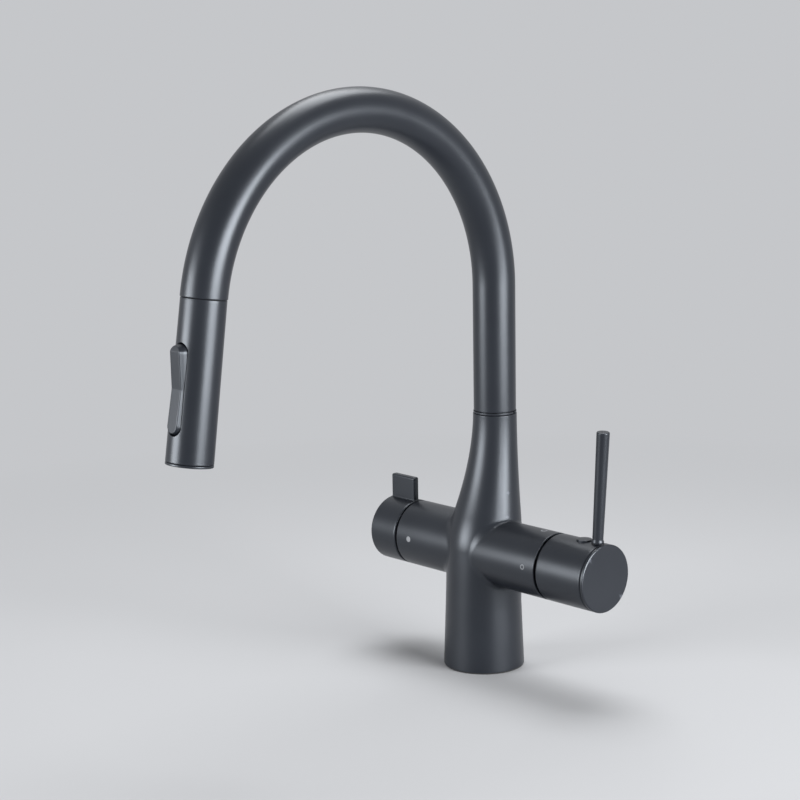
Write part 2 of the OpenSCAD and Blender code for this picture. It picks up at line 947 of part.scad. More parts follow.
module inlet_screen() {
    color([0.8, 0.8, 0.8])
    at_head()
        difference() {
            rod_z(socket_r, -socket_end, screen_t - socket_end);
            rod_z(screen_hole_r, -socket_end - past, screen_t + past - socket_end);
            for (ring = [1, 2], k = [0 : 6 * ring - 1])
                rotate([0, 0, 60 * k / ring])
                    translate([screen_pitch * ring, 0, -socket_end - past])
                        cylinder(r = screen_hole_r, h = screen_t + 2 * past);
        }
}

// The stadium outline of the rocker, grown by a side gap and an end gap, cut along Y
module rocker_stadium(side_gap, end_gap, depth) {
    r = rocker_w / 2 + side_gap;
    half = rocker_len / 2 + end_gap - r;
    translate([0, -depth, -rocker_mid])
        rotate([-90, 0, 0])
            linear_extrude(depth)
                union() {
                    translate([0, half])
                        circle(r = r);
                    translate([0, -half])
                        circle(r = r);
                    translate([-r, -half])
                        square([2 * r, 2 * half]);
                }
}

module head_shell() {
    color([0.13, 0.14, 0.16])
    at_head()
        difference() {
            translate([0, 0, -shell_end])
                cylinder(r1 = head_end_r, r2 = head_top_r, h = shell_end - slack);
            rod_z(head_bore_r, -shell_end - past, past);
            difference() {
                rocker_stadium(slot_gap, slot_end_gap, 2 * head_end_r);
                translate([-head_end_r, 0, -head_len])
                    cube([2 * head_end_r, head_end_r, head_len]);
            }
            translate([0, -rocker_pivot, -rocker_mid])
                rod_x(rocker_pin_r, -rocker_pin_half, rocker_pin_half);
            translate([0, 0, -screw_drop])
                rotate([-90, 0, 0])
                    rod_z(screw_r, 0, head_end_r + past);
        }
}

module head_insert() {
    color([0.2, 0.2, 0.21])
    at_head()
        difference() {
            rod_z(insert_r, -insert_end, -insert_top);
            difference() {
                rocker_stadium(slot_gap, slot_end_gap, 2 * head_end_r);
                translate([-head_end_r, -pocket_floor, -head_len])
                    cube([2 * head_end_r, 2 * head_end_r, head_len]);
            }
            translate([0, -rocker_pivot, -rocker_mid])
                rod_x(rocker_pin_r, -rocker_pin_half, rocker_pin_half);
            rod_z(socket_r, -socket_end, 0);
            rod_z(spool_bore_r, -rocker_mid - spool_len / 2 - spool_room, past - socket_end);
            rod_z(aerator_r - aerator_bore_wall, -head_len, past - rocker_mid - spool_len / 2 - spool_room);
            translate([0, spray_way_at, 0])
                rod_z(spray_way_r, -head_len, past - socket_end);
            translate([-finger_w - slack, -head_end_r, -rocker_mid - finger_slot_half])
                cube([2 * (finger_w + slack), head_end_r, 2 * finger_slot_half]);
            translate([0, 0, -screw_drop])
                rotate([-90, 0, 0])
                    rod_z(screw_r, insert_r - screw_bite, head_end_r);
        }
}

module head_screw() {
    color([0.2, 0.2, 0.21])
    at_head()
        translate([0, 0, -screw_drop])
            rotate([-90, 0, 0])
                difference() {
                    rod_z(screw_r, insert_r - screw_bite, head_top_r - screw_inset);
                    translate([0, 0, head_top_r - screw_inset - screw_hex_depth])
                        cylinder(r = screw_hex_r, h = screw_hex_depth + past, $fn = 6);
                }
}

module rocker_pin() {
    color([0.7, 0.7, 0.72])
    at_head()
        translate([0, -rocker_pivot, -rocker_mid])
            rod_x(rocker_pin_r, -rocker_pin_half, rocker_pin_half);
}

module rocker() {
    half = rocker_len / 2;
    facet = half - rocker_facet_len;
    raised = -rocker_face - half * tan(rocker_tilt);
    pressed = -rocker_face - half * tan(rocker_low_tilt);
    back = -pocket_floor - slack;
    color([0.13, 0.14, 0.16])
    at_head()
        translate([0, 0, -rocker_mid])
            difference() {
                union() {
                    intersection() {
                        translate([0, 0, rocker_mid])
                            rocker_stadium(0, 0, 2 * head_end_r);
                        translate([-rocker_w / 2, 0, 0])
                            rotate([90, 0, 90])
                                linear_extrude(rocker_w)
                                    polygon([
                                        [raised + rocker_facet_drop, half - rocker_end_lean],
                                        [-rocker_face - facet * tan(rocker_tilt), facet],
                                        [-rocker_face, 0],
                                        [pressed, edge - half], [pressed + edge, -half],
                                        [back, -half], [back, 0],
                                        [back - half * tan(rocker_travel), half],
                                        [-head_end_r, half]
                                    ]);
                    }
                    translate([0, -rocker_pivot, 0])
                        rod_x(rocker_hub_r, hub_play - rocker_w / 2, rocker_w / 2 - hub_play);
                    translate([-finger_w, -rocker_pivot, -finger_t / 2])
                        cube([2 * finger_w, finger_reach, finger_t]);
                    translate([0, finger_reach - rocker_pivot, 0])
                        rod_x(finger_r, -finger_w, finger_w);
                }
                translate([0, -rocker_pivot, 0])
                    rod_x(rocker_pin_r + run, -rocker_w, rocker_w);
            }
}

module diverter_spool() {
    half = spool_len / 2;
    seal_core = spool_r - 2 * spool_seal_t;
    seal_half = spool_seal_t + 0.05;
    color([0.75, 0.6, 0.3])
    at_head()
        translate([0, 0, -rocker_mid])
            rotate_extrude()
                polygon([
                    [0, -half], [spool_r, -half],
                    [spool_r, -spool_seal_at - seal_half], [seal_core, -spool_seal_at - seal_half],
                    [seal_core, seal_half - spool_seal_at], [spool_r, seal_half - spool_seal_at],
                    [spool_r, -spool_groove], [spool_core_r, -spool_groove],
                    [spool_core_r, spool_groove], [spool_r, spool_groove],
                    [spool_r, spool_seal_at - seal_half], [seal_core, spool_seal_at - seal_half],
                    [seal_core, spool_seal_at + seal_half], [spool_r, spool_seal_at + seal_half],
                    [spool_r, half], [0, half]
                ]);
}

module spool_seals() {
    color([0.05, 0.05, 0.05])
    at_head()
        for (z = [-spool_seal_at, spool_seal_at])
            translate([0, 0, z - rocker_mid])
                o_ring(spool_r - spool_seal_t + 0.02, spool_seal_t);
}

module at_nozzles() {
    for (k = [0 : nozzle_count - 1])
        rotate([0, 0, 360 * k / nozzle_count])
            translate([nozzle_ring_r, 0, 0])
                children();
}

module spray_face() {
    color([0.16, 0.16, 0.17])
    at_head()
        difference() {
            rod_z(insert_r, face_recess - head_len, -insert_end);
            rod_z(aerator_r + aerator_play, -head_len, past - insert_end);
            ring_z(nozzle_ring_r + chamber_half_w, nozzle_ring_r - chamber_half_w,
                   -insert_end - chamber_depth, past - insert_end);
            at_nozzles()
                rod_z(nozzle_r, -head_len, -insert_end);
        }
}

module spray_nozzles() {
    color([0.35, 0.36, 0.38])
    at_head()
        at_nozzles()
            ring_z(nozzle_r, nozzle_r - nozzle_wall, nozzle_inset - head_len,
                   nozzle_inset + nozzle_len - head_len);
}

module aerator() {
    color([0.3, 0.3, 0.32])
    at_head()
        difference() {
            rod_z(aerator_r, aerator_recess - head_len, -insert_end);
            rod_z(aerator_r - aerator_lip, -head_len, aerator_recess + aerator_lip_depth - head_len);
            for (a = [0 : 60 : 300])
                rotate([0, 0, a])
                    translate([aerator_r / 2, 0, 0])
                        rod_z(aerator_hole_r, -head_len, past - insert_end);
            rod_z(aerator_hole_r, -head_len, past - insert_end);
        }
}

module face_ring() {
    color([0.1, 0.1, 0.11])
    at_head()
        difference() {
            translate([0, 0, -head_len])
                cylinder(r1 = head_end_r - edge, r2 = head_end_r, h = edge);
            rod_z(head_bore_r, -head_len - past, 0);
        }
    color([0.1, 0.1, 0.11])
    at_head()
        ring_z(head_end_r, head_bore_r, edge - head_len, face_ring_t - head_len);
}

module mixer_stem() {
    color([0.7, 0.7, 0.72])
    at_arm()
        valve_axle(cartridge_r, mixer_seat, stem_r, stem_end);
}

module mixer_moving_disc() {
    color([0.95, 0.95, 0.93])
    at_arm()
        valve_moving_disc(cartridge_r, mixer_seat);
}

module lever_carrier() {
    color([0.6, 0.6, 0.62])
    at_arm()
        difference() {
            union() {
                rod_x(carrier_hub_r, mixer_reach + slack, carrier_end);
                translate([rock_x - ear_r, -ear_w / 2, -rock_drop])
                    cube([2 * ear_r, ear_w, rock_drop]);
                translate([rock_x, 0, -rock_drop])
                    rod_y(ear_r, ear_w / 2);
            }
            rod_x(stem_r, 0, stem_end);
            translate([rock_x, 0, -rock_drop])
                rod_y(rock_pin_r + run, ear_w);
            translate([plug_x, 0, 0])
                rod_z(grub_r, 0, carrier_hub_r + past);
        }
}

module carrier_screw() {
    color([0.6, 0.6, 0.62])
    at_arm()
        translate([plug_x, 0, 0])
            difference() {
                rod_z(grub_r, stem_r, carrier_hub_r - slack);
                translate([0, 0, carrier_hub_r - slack - grub_hex_depth])
                    cylinder(r = grub_hex_r, h = grub_hex_depth + past, $fn = 6);
            }
}

// The pin lever's frame: its foot lies on the knob's top
module at_lever() {
    at_arm()
        translate([lever_x, 0, arm_r])
            rotate([0, lever_lean, 0])
                children();
}

module mixer_knob() {
    color([0.13, 0.14, 0.16])
    difference() {
        at_arm()
            turned_x([
                [0, mixer_cavity_end], [knob_bore_r, mixer_cavity_end], [knob_bore_r, mixer_knob_x],
                [arm_r - edge, mixer_knob_x], [arm_r, mixer_knob_x + edge],
                [arm_r, mixer_knob_end - edge], [arm_r - edge, mixer_knob_end],
                [end_spigot_r, mixer_knob_end], [end_spigot_r, mixer_knob_end - end_spigot_t],
                [0, mixer_knob_end - end_spigot_t]
            ]);
        at_arm() {
            translate([rock_x, 0, -rock_drop])
                rod_y(rock_pin_r, rock_pin_half);
            translate([plug_x, 0, 0])
                rod_z(plug_r, 0, arm_r + past);
        }
        at_lever()
            rod_z(lever_root_r, -lever_root_len, past);
        at_lever()
            rod_z(lever_foot_r + lever_recess_gap, -lever_recess, past);
    }
}

module mixer_end_disc() {
    color([0.13, 0.14, 0.16])
    at_arm()
        turned_x([
            [0, mixer_knob_end - end_spigot_t], [end_spigot_r, mixer_knob_end - end_spigot_t],
            [end_spigot_r, mixer_knob_end + end_groove], [arm_r - edge, mixer_knob_end + end_groove],
            [arm_r, mixer_knob_end + end_groove + edge],
            [arm_r, mixer_knob_end + end_groove + end_disc_t - edge],
            [arm_r - edge, mixer_knob_end + end_groove + end_disc_t],
            [0, mixer_knob_end + end_groove + end_disc_t]
        ]);
}

module pin_lever() {
    color([0.13, 0.14, 0.16])
    at_lever()
        rotate_extrude()
            polygon([
                [0, -lever_root_len], [lever_root_r, -lever_root_len], [lever_root_r, -lever_recess],
                [lever_foot_r, -lever_recess], [lever_foot_r, lever_recess],
                [lever_tip_r, lever_len - lever_tip_edge], [lever_tip_r - lever_tip_edge, lever_len],
                [0, lever_len]
            ]);
}

module screw_plug() {
    color([0.13, 0.14, 0.16])
    at_arm()
        translate([plug_x, 0, 0])
            rotate_extrude()
                polygon([
                    [0, knob_bore_r + plug_seat], [plug_r, knob_bore_r + plug_seat],
                    [plug_r, arm_r + plug_rise],
                    [plug_r - plug_rim, arm_r + plug_rise + 2 * plug_crown],
                    [0, arm_r + plug_rise + 3 * plug_crown]
                ]);
}

module rock_pin() {
    color([0.7, 0.7, 0.72])
    at_arm()
        translate([rock_x, 0, -rock_drop])
            rod_y(rock_pin_r, rock_pin_half);
}

module filter_spindle() {
    color([0.75, 0.6, 0.3])
    at_filter_arm()
        valve_axle(filter_valve_r, filter_seat, spindle_r, spindle_end);
}

module filter_moving_disc() {
    color([0.95, 0.95, 0.93])
    at_filter_arm()
        valve_moving_disc(filter_valve_r, filter_seat);
}

module paddle_solid(root) {
    r = paddle_corner;
    translate([paddle_x, -paddle_t / 2, arm_r - root])
        linear_extrude(paddle_h + root)
            union() {
                translate([r, 0])
                    square([paddle_w - 2 * r, paddle_t]);
                translate([0, r])
                    square([paddle_w, paddle_t - 2 * r]);
                for (x = [r, paddle_w - r], y = [r, paddle_t - r])
                    translate([x, y])
                        circle(r = r);
            }
}

module filter_knob() {
    color([0.13, 0.14, 0.16])
    at_filter_arm()
        difference() {
            union() {
                turned_x([
                    [0, spindle_end], [knob_bore_r, spindle_end], [knob_bore_r, filter_knob_x],
                    [arm_r - edge, filter_knob_x], [arm_r, filter_knob_x + edge],
                    [arm_r, filter_knob_end - edge], [arm_r - edge, filter_knob_end],
                    [0, filter_knob_end]
                ]);
                rod_x(filter_hub_r, filter_knob_x + filter_hub_inset, spindle_end + past);
            }
            rod_x(spindle_r, filter_knob_x, spindle_end);
            paddle_solid(paddle_root);
            translate([filter_screw_x, 0, 0])
                rod_z(filter_screw_r, -arm_r - past, 0);
        }
}

module filter_paddle() {
    color([0.13, 0.14, 0.16])
    at_filter_arm()
        paddle_solid(paddle_root);
}

module filter_screw() {
    color([0.6, 0.6, 0.62])
    at_filter_arm()
        translate([filter_screw_x, 0, 0])
            difference() {
                rod_z(filter_screw_r, slack - filter_hub_r, -spindle_r);
                translate([0, 0, -filter_hub_r - past])
                    cylinder(r = hex_r, h = slack + past + hex_depth, $fn = 6);
            }
}

body_casting();
deck_gasket();
inlet_manifold();
manifold_seals();
manifold_clip();
check_valves();
fixing_stud();
clamp_rubber();
clamp_plate();
stud_nut();
hose_riser();
hose_coupling();
upper_bush();
lower_bush();
swivel_o_rings();
swivel_ring();
swing_stop_screw();
mixer_cartridge();
mixer_fixed_disc();
mixer_seals();
mixer_cartridge_nut();
filter_valve();
filter_fixed_disc();
filter_seals();
filter_valve_nut();
spout_tube();
spout_spigot();
dock_collar();
spray_hose();
hose_tail();
hose_nut();
hose_nut_seal();
inlet_screen();
head_shell();
head_insert();
head_screw();
rocker_pin();
spray_face();
spray_nozzles();
aerator();
face_ring();
rocker();
diverter_spool();
spool_seals();
mixer_stem();
mixer_moving_disc();
lever_carrier();
carrier_screw();
mixer_knob();
mixer_end_disc();
pin_lever();
screw_plug();
rock_pin();
filter_spindle();
filter_moving_disc();
filter_knob();
filter_paddle();
filter_screw();
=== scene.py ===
"""The looks of the kitchen mixer tap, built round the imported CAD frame.

Lengths are in millimetres until a mesh is made, and places are in the frame's own axes.
"""
import json
from math import acos, asin, atan, atan2, ceil, cos, degrees, hypot, inf, pi, radians, sin, sqrt, tan

import bmesh
import bpy
import numpy as np
from mathutils import Matrix, Vector


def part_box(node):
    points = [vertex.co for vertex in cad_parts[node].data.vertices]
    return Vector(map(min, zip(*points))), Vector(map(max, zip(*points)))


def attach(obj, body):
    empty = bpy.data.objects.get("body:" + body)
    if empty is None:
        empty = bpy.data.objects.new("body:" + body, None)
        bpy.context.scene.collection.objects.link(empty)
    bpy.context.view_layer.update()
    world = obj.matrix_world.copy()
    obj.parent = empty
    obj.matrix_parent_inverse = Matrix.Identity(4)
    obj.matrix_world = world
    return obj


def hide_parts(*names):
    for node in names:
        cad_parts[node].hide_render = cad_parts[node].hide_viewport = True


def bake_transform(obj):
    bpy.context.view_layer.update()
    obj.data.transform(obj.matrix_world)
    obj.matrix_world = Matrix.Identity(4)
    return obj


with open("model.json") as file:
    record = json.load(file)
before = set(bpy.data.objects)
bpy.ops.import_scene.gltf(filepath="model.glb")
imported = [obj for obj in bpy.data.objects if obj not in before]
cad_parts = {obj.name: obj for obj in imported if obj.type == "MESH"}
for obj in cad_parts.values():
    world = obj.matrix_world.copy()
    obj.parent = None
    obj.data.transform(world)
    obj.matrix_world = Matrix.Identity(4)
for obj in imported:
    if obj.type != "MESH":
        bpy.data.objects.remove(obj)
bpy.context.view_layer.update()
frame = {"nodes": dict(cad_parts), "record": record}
nodes = frame["nodes"]

MM = 0.001
JOIN_REACH = 2e-6
SHARP = 32


def ends(node, axis):
    """Where a CAD node starts and stops along an axis."""
    low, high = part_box(node)
    return low[axis] / MM, high[axis] / MM


# Column, neck and arms
BASE_R = 27
COLUMN_R = 25.3
TAPER_H = 44
ARM_H = 79.5
ARM_R = 22
SHOULDER_H = ARM_H + ARM_R - 2.5
SHOULDER_FRONT = 20.2
NECK_R = 14.5
SPOUT_BACK = 12.2
NECK_BACK = SPOUT_BACK + NECK_R
NECK_FRONT = NECK_R - SPOUT_BACK
SWEEP = 1.8
SHOULDER_BLEND = 5
EDGE = 0.5
CREASE_R = 1.3
BLEND_R = 6
FILTER_END, MIXER_END = ends("body_casting", 0)
FOOT_Z, NECK_TOP = ends("body_casting", 2)

# The net over the casting's outside, and where round sections take over from it
NET_STEP = 0.95
NET_ARM = 47.5
NET_LOW = 7
NET_HIGH = 163
CASTING_SIDES = 144
END_ROW = 1.4 * EDGE

# Bores of the casting
MANIFOLD_R = 19.45
MANIFOLD_TOP = ends("inlet_manifold", 2)[1]
MIXER_BORE = 17.55
FILTER_BORE = 15.85
MIXER_SEAT = ends("mixer_cartridge", 0)[0]
FILTER_SEAT = ends("filter_valve", 0)[1]
PASSAGE_R = 9.5
NECK_BORE = 12
NECK_BORE_Z = ends("lower_bush", 2)[0] - 2
STOP_Z = sum(ends("swing_stop_screw", 2)) / 2
STOP_R = 2.2

# Gasket under the foot, and the split ring under the spout
GASKET_R = 26.4
GASKET_BORE = 18.3
RING_R = NECK_R - 0.2
RING_STEP_R = 12.7
RING_BORE = 11.8
RING_GAP = 2.2
RING_TURN = 17
RING_LIFT = 0.35
RING_PLAY = 0.04

# Spout
SPOUT_R = 14
SPOUT_BORE = 12.6
BEND_R = 120
BEND_H = 254.8
BEND_ANGLE = 171.3
SPOUT_FOOT = ends("spout_tube", 2)[0]
SPOUT_LIP = 0.45

# Hose: the riser leans back on its way up, and the tail ends above the head's nut
HOSE_R = 5.2
HOSE_BORE = 3.4
HOSE_GAP = 0.3
RISER_LOW = -64
RISER_TOP = 129.4
RISER_BACK = 10.6
COUPLING_R = 6.8
COUPLING_BORE = 4.2
COUPLING_DROP = 10
COUPLING_LAP = 4
TAIL_TURN = 12.9
TAIL_FOOT = 12.9

# Spray head
HEAD_TILT = 180 - BEND_ANGLE
HEAD_LEN = 97.8
HEAD_TOP_R = 13.7
HEAD_END_R = 14.3
HEAD_BORE = 12.1
HEAD_SEAM = 0.3
HEAD_LIP = 0.35
SEAT_BORE = 8.6
SEAT_DEPTH = 3.6
SEAT_GAP = 0.05
FACE_RING = 1.6
FACE_SEAM = 0.2
ROCKER_TOP = 26.9
ROCKER_LEN = 52.9
ROCKER_W = 10.8
ROCKER_MID = ROCKER_TOP + ROCKER_LEN / 2
ROCKER_FACE = 14.4
ROCKER_TILT = 9.3
ROCKER_LOW_TILT = 2.4
ROCKER_PIVOT = 11.2
ROCKER_BACK = 8.8
ROCKER_DRAFT = 0.85
ROCKER_DRAFT_DEPTH = 3
ROCKER_TOP_FACET = 4.4
ROCKER_TOP_EDGE = 1.7
ROCKER_TOP_DROP = 1.25
HUB_R = 2.2
FINGER_REACH = 8.2
SLOT_GAP = 0.25
SLOT_END_GAP = 0.7
HEAD_SCREW_DROP = 6.5
HEAD_SCREW_R = 1.5
OUTLET_DEPTH = 8
OUTLET_PLAY = 0.1
PLATE_R = HEAD_BORE - OUTLET_PLAY
PLATE_RECESS = 0.8
AERATOR_R = 5.9
AERATOR_WALL = 1.2
AERATOR_RECESS = 0.5
GRID_RECESS = 1.3
GRID_DEPTH = 2.2
GRID_BAR = 0.28
GRID_PITCH = 1.25
NOZZLES = 16
NOZZLE_R = 0.9
NOZZLE_TIP_R = 0.765
NOZZLE_BORE = 0.4
NOZZLE_DEPTH = 3.4
NOZZLE_SHOULDER = 0.7
NOZZLE_RECESS = 0.1
NOZZLE_BORE_END = 1.2
NOZZLE_RING = (AERATOR_R + PLATE_R) / 2

# Knobs
KNOB_BORE = 18.6
KNOB_EDGE = 1.0
MOUTH_EDGE = 1.1
DISC_BACK_EDGE = 0.15
DISC_CHAMFER = 0.75
DISC_CHAMFER_T = 0.35
MIXER_KNOB = ends("mixer_knob", 0)
DISC_END = ends("mixer_end_disc", 0)[1]
DISC_T = 2
DISC_START = DISC_END - DISC_T
DISC_SPIGOT_R = 10
DISC_SPIGOT_T = 2.5
MIXER_CAVITY = MIXER_KNOB[1] - 7.9
LEVER_X = MIXER_KNOB[1] - 4.2
LEVER_LEN = 72.5
LEVER_SHANK = 10
LEVER_SHANK_R = 2.5
LEVER_SEAT = 0.25
LEVER_COLLAR = 1.3
LEVER_TAPER = 2.7
LEVER_FOOT_R = 3.5
LEVER_COLLAR_R = 3.95
LEVER_TIP_R = 4.2
LEVER_LEAN = 3.5
LEVER_RECESS = 0.6
PLUG_X = LEVER_X - 11.2
PLUG_R = 5
FILTER_KNOB = [-x for x in reversed(ends("filter_knob", 0))]
FILTER_WALL = FILTER_KNOB[1] - 6
FILTER_HUB_R = 8
FILTER_HUB_BORE = 4
PADDLE_EDGE = 1.25
PADDLE_FOOT = 0.6

# Fixing under the worktop
STUD_R = 4
STUD_PITCH = 1.25
STUD_CHAMFER = 0.4
THREAD_DEPTH = 0.61
NUT_R = 6.8
NUT_BORE = 4.05
HEX_CHAMFER = 0.2
HEX_LIP = 0.35

# Plain marks in the places of the printed ones: name, place along the arm, height and radii
MARK_LIFT = 0.03
MARK_DEPTH = 0.05
MARKS = (
    ("filter_dot", -49.4, 80.8, [0, 0.9, 1.9]),
    ("mixer_ring", 56.7, 81.8, [1.1, 1.7]),
    ("top_ring", 55.7, ARM_H + ARM_R, [1.3, 2.2]),
)


def base_frame(origin=(0, 0, 0), x=(1, 0, 0), y=(0, 1, 0), z=(0, 0, 1)):
    """A placing matrix whose columns are a piece's own axes, from an origin in millimetres."""
    place = Matrix((x, y, z)).transposed().to_4x4()
    place.translation = Vector(origin) * MM
    return place


bend_end = radians(BEND_ANGLE)
tilt = radians(HEAD_TILT)
spout_frame = base_frame((0, SPOUT_BACK, 0))
head_frame = base_frame(
    (0, SPOUT_BACK - BEND_R * (1 - cos(bend_end)), BEND_H + BEND_R * sin(bend_end)),
    y=(0, cos(tilt), -sin(tilt)),
    z=(0, sin(tilt), cos(tilt)),
)
mixer_frame = base_frame((0, 0, ARM_H), x=(0, 1, 0), y=(0, 0, 1), z=(1, 0, 0))
filter_frame = base_frame((0, 0, ARM_H), x=(0, -1, 0), y=(0, 0, 1), z=(-1, 0, 0))
lever_lean = radians(LEVER_LEAN)
lever_frame = base_frame(
    (LEVER_X, 0, ARM_H + ARM_R),
    x=(cos(lever_lean), 0, -sin(lever_lean)),
    z=(sin(lever_lean), 0, cos(lever_lean)),
)


def full_turn(sides):
    """The angles of a ring's points."""
    return np.arange(sides) * 2 * pi / sides


def circle(radius, height, sides, x=0, y=0):
    return [(x + radius * cos(t), y + radius * sin(t), height) for t in full_turn(sides)]


def bridge(faces, *rings):
    """Quads between each ring of point numbers and the next one, with as many points."""
    for a, b in zip(rings, rings[1:]):
        count = len(a)
        faces += [(a[i], a[(i + 1) % count], b[(i + 1) % count], b[i]) for i in range(count)]


def lofted(rings, loop=False, capped=False):
    """Points and faces of a skin through rings with as many points each."""
    size = len(rings[0])
    numbers = [range(i * size, (i + 1) * size) for i in range(len(rings))]
    faces = []
    bridge(faces, *numbers, *(numbers[:1] if loop else []))
    if capped:
        faces += [numbers[0], numbers[-1]]
    return [point for ring in rings for point in ring], faces


def joined(skins):
    """The points and faces of several skins as one."""
    verts = []
    faces = []
    for points, quads in skins:
        faces += [[i + len(verts) for i in quad] for quad in quads]
        verts += points
    return verts, faces


def filled(verts, faces):
    """A mesh in the making, from points in millimetres and faces of point numbers. Faces that fold to
    a line, and points that no face uses, are left out."""
    spots = [tuple(spot) for spot in np.round(np.array(verts, float), 5)]
    build = bmesh.new()
    made = [build.verts.new(Vector(v) * MM) for v in verts]
    for face in faces:
        if len({spots[i] for i in face}) > 2:
            build.faces.new([made[i] for i in face])
    loose = [v for v in build.verts if not v.link_faces]
    bmesh.ops.delete(build, geom=loose, context="VERTS")
    return build


def smooth(mesh, sharp=SHARP):
    """Shades a mesh smoothly, but for the edges that turn by more than an angle."""
    mesh.polygons.foreach_set("use_smooth", [True] * len(mesh.polygons))
    mesh.set_sharp_from_angle(angle=radians(sharp))


def new_object(name, data, place=None):
    thing = bpy.data.objects.new(name, data)
    bpy.context.scene.collection.objects.link(thing)
    if place is not None:
        thing.matrix_world = place
    return thing


def add_piece(name, body, build, place=None, replaced=(), slot="satin_black", sharp=SHARP):
    """Ends a mesh in the making: closes its doubled points, and puts it on a body as a piece."""
    bmesh.ops.remove_doubles(build, verts=build.verts, dist=JOIN_REACH)
    bmesh.ops.recalc_face_normals(build, faces=build.faces)
    mesh = bpy.data.meshes.new(name)
    build.to_mesh(mesh)
    build.free()
    smooth(mesh, sharp)
    piece = new_object(name, mesh, place)
    if body:
        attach(piece, body)
    if replaced:
        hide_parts(*replaced)
    mesh.materials.append(finishes[slot])
    return piece


def rounded(corners, closed=False, step=2.5, steps=5):
    """A profile through corners of (radius, along, fillet). Fillets become arcs with a row close on
    each side, and long stretches are cut into rows."""
    points = [np.array(c[:2], float) for c in corners]
    count = len(points)
    line = []
    for i, (_, _, fillet) in enumerate(corners):
        if fillet == 0:
            line.append(points[i])
            continue
        back = points[i - 1] - points[i]
        on = points[(i + 1) % count] - points[i]
        back /= np.linalg.norm(back)
        on /= np.linalg.norm(on)
        half = acos(np.clip(back @ on, -1, 1)) / 2
        cut = fillet / tan(half)
        centre = points[i] + (back + on) / np.linalg.norm(back + on) * fillet / sin(half)
        first = points[i] + back * cut - centre
        last = points[i] + on * cut - centre
        whole = pi - 2 * half
        beside = cut + 0.4 * fillet
        line.append(points[i] + back * beside)
        for t in np.linspace(0, 1, steps):
            turn = (sin((1 - t) * whole) * first + sin(t * whole) * last) / sin(whole)
            line.append(centre + turn)
        line.append(points[i] + on * beside)
    rows = []
    for i in range(len(line) if closed else len(line) - 1):
        start, stop = line[i], line[(i + 1) % len(line)]
        parts = max(1, ceil(np.linalg.norm(stop - start) / step))
        rows += [start + (stop - start) * k / parts for k in range(parts)]
    if not closed:
        rows.append(line[-1])
    return np.array(rows)


def edge_arc(radius, lip, count=5):
    """A rounded edge's rows, as radius and distance from the end, from the end on."""
    return [(radius - lip * (1 - sin(a)), lip * (1 - cos(a))) for a in np.linspace(0, pi / 2, count)]


def slot_outline(share, radius, straight):
    """The point at a share of the way round a slot with round ends, from its lowest point."""
    if share > 0.5:
        side, up = slot_outline(1 - share, radius, straight)
        return -side, up
    quarter = pi * radius / 2
    along = share * (4 * quarter + 2 * straight)
    if along < quarter:
        turn = along / radius
        return radius * sin(turn), -straight / 2 - radius * cos(turn)
    if along < quarter + straight:
        return radius, along - quarter - straight / 2
    turn = (along - quarter - straight) / radius
    return radius * cos(turn), straight / 2 + radius * sin(turn)


def rows_within(profile, low, high, least, most):
    """The profile's rows between two places along it and between two radii, lowest first."""
    found = [i for i, (r, z) in enumerate(profile) if least <= r <= most and low <= z <= high]
    return found if profile[found[0]][1] < profile[found[-1]][1] else found[::-1]


def hole_rings(verts, profile, sides, hole, rows, lip):
    """Rings of points from a hole's rectangle in the wall in to its outline, and the rectangle's cells.
    With a lip, the outline's edge is rounded."""
    middle = round(hole["turn"] / 360 * sides)
    reach = hole["reach"]
    columns = [(middle + k) % sides for k in range(-reach, reach + 1)]
    half = len(columns) // 2
    loop = [(rows[0], c) for c in range(half, len(columns))]
    loop += [(r, len(columns) - 1) for r in rows[1:]]
    loop += [(rows[-1], c) for c in range(len(columns) - 2, -1, -1)]
    loop += [(r, 0) for r in rows[-2::-1]]
    loop += [(rows[0], c) for c in range(1, half)]
    heights = [profile[r][1] for r in rows]
    radii = [profile[r][0] for r in rows]
    pitch = 2 * pi / sides
    centre = middle * pitch
    flat = [((c - half) * pitch, profile[r][1]) for r, c in loop]
    mean = radii[0]
    spans = [hypot((b[0] - a[0]) * mean, b[1] - a[1]) for a, b in zip(flat, flat[1:] + flat[:1])]
    shares = np.concatenate([[0], np.cumsum(spans)[:-1]]) / sum(spans)

    def wall_point(turn, z, depth):
        radius = np.interp(z, heights, radii)
        side = radius * sin(turn)
        out = radius * cos(turn) - depth
        return out * cos(centre) - side * sin(centre), out * sin(centre) + side * cos(centre), z

    def outline_ring(grow, depth, mixing=0.0):
        """The hole's outline, grown by a little, or a part of the way back to the rectangle."""
        ring = []
        for share, (turn, z) in zip(shares, flat):
            side, up = slot_outline(share, hole["r"] + grow, hole.get("straight", 0))
            up += hole["z"]
            side_turn = asin(side / np.interp(up, heights, radii))
            at = (side_turn + (turn - side_turn) * mixing, up + (z - up) * mixing)
            ring.append(len(verts))
            verts.append(wall_point(*at, depth))
        return ring

    rings = [[r * sides + columns[c] for r, c in loop]]
    rings += [outline_ring(lip * 1.6, 0, mixing) for mixing in (0.7, 0.42, 0.2, 0.07)]
    if lip:
        rings.append(outline_ring(lip * 1.4, 0))
        for k in range(5):
            turn = k * pi / 8
            rings.append(outline_ring(lip * (1 - sin(turn)), lip * (1 - cos(turn))))
    else:
        rings.append(outline_ring(0, 0))
    cells = {(r, c) for r in range(min(rows), max(rows)) for c in columns[:-1]}
    return rings, cells, shares


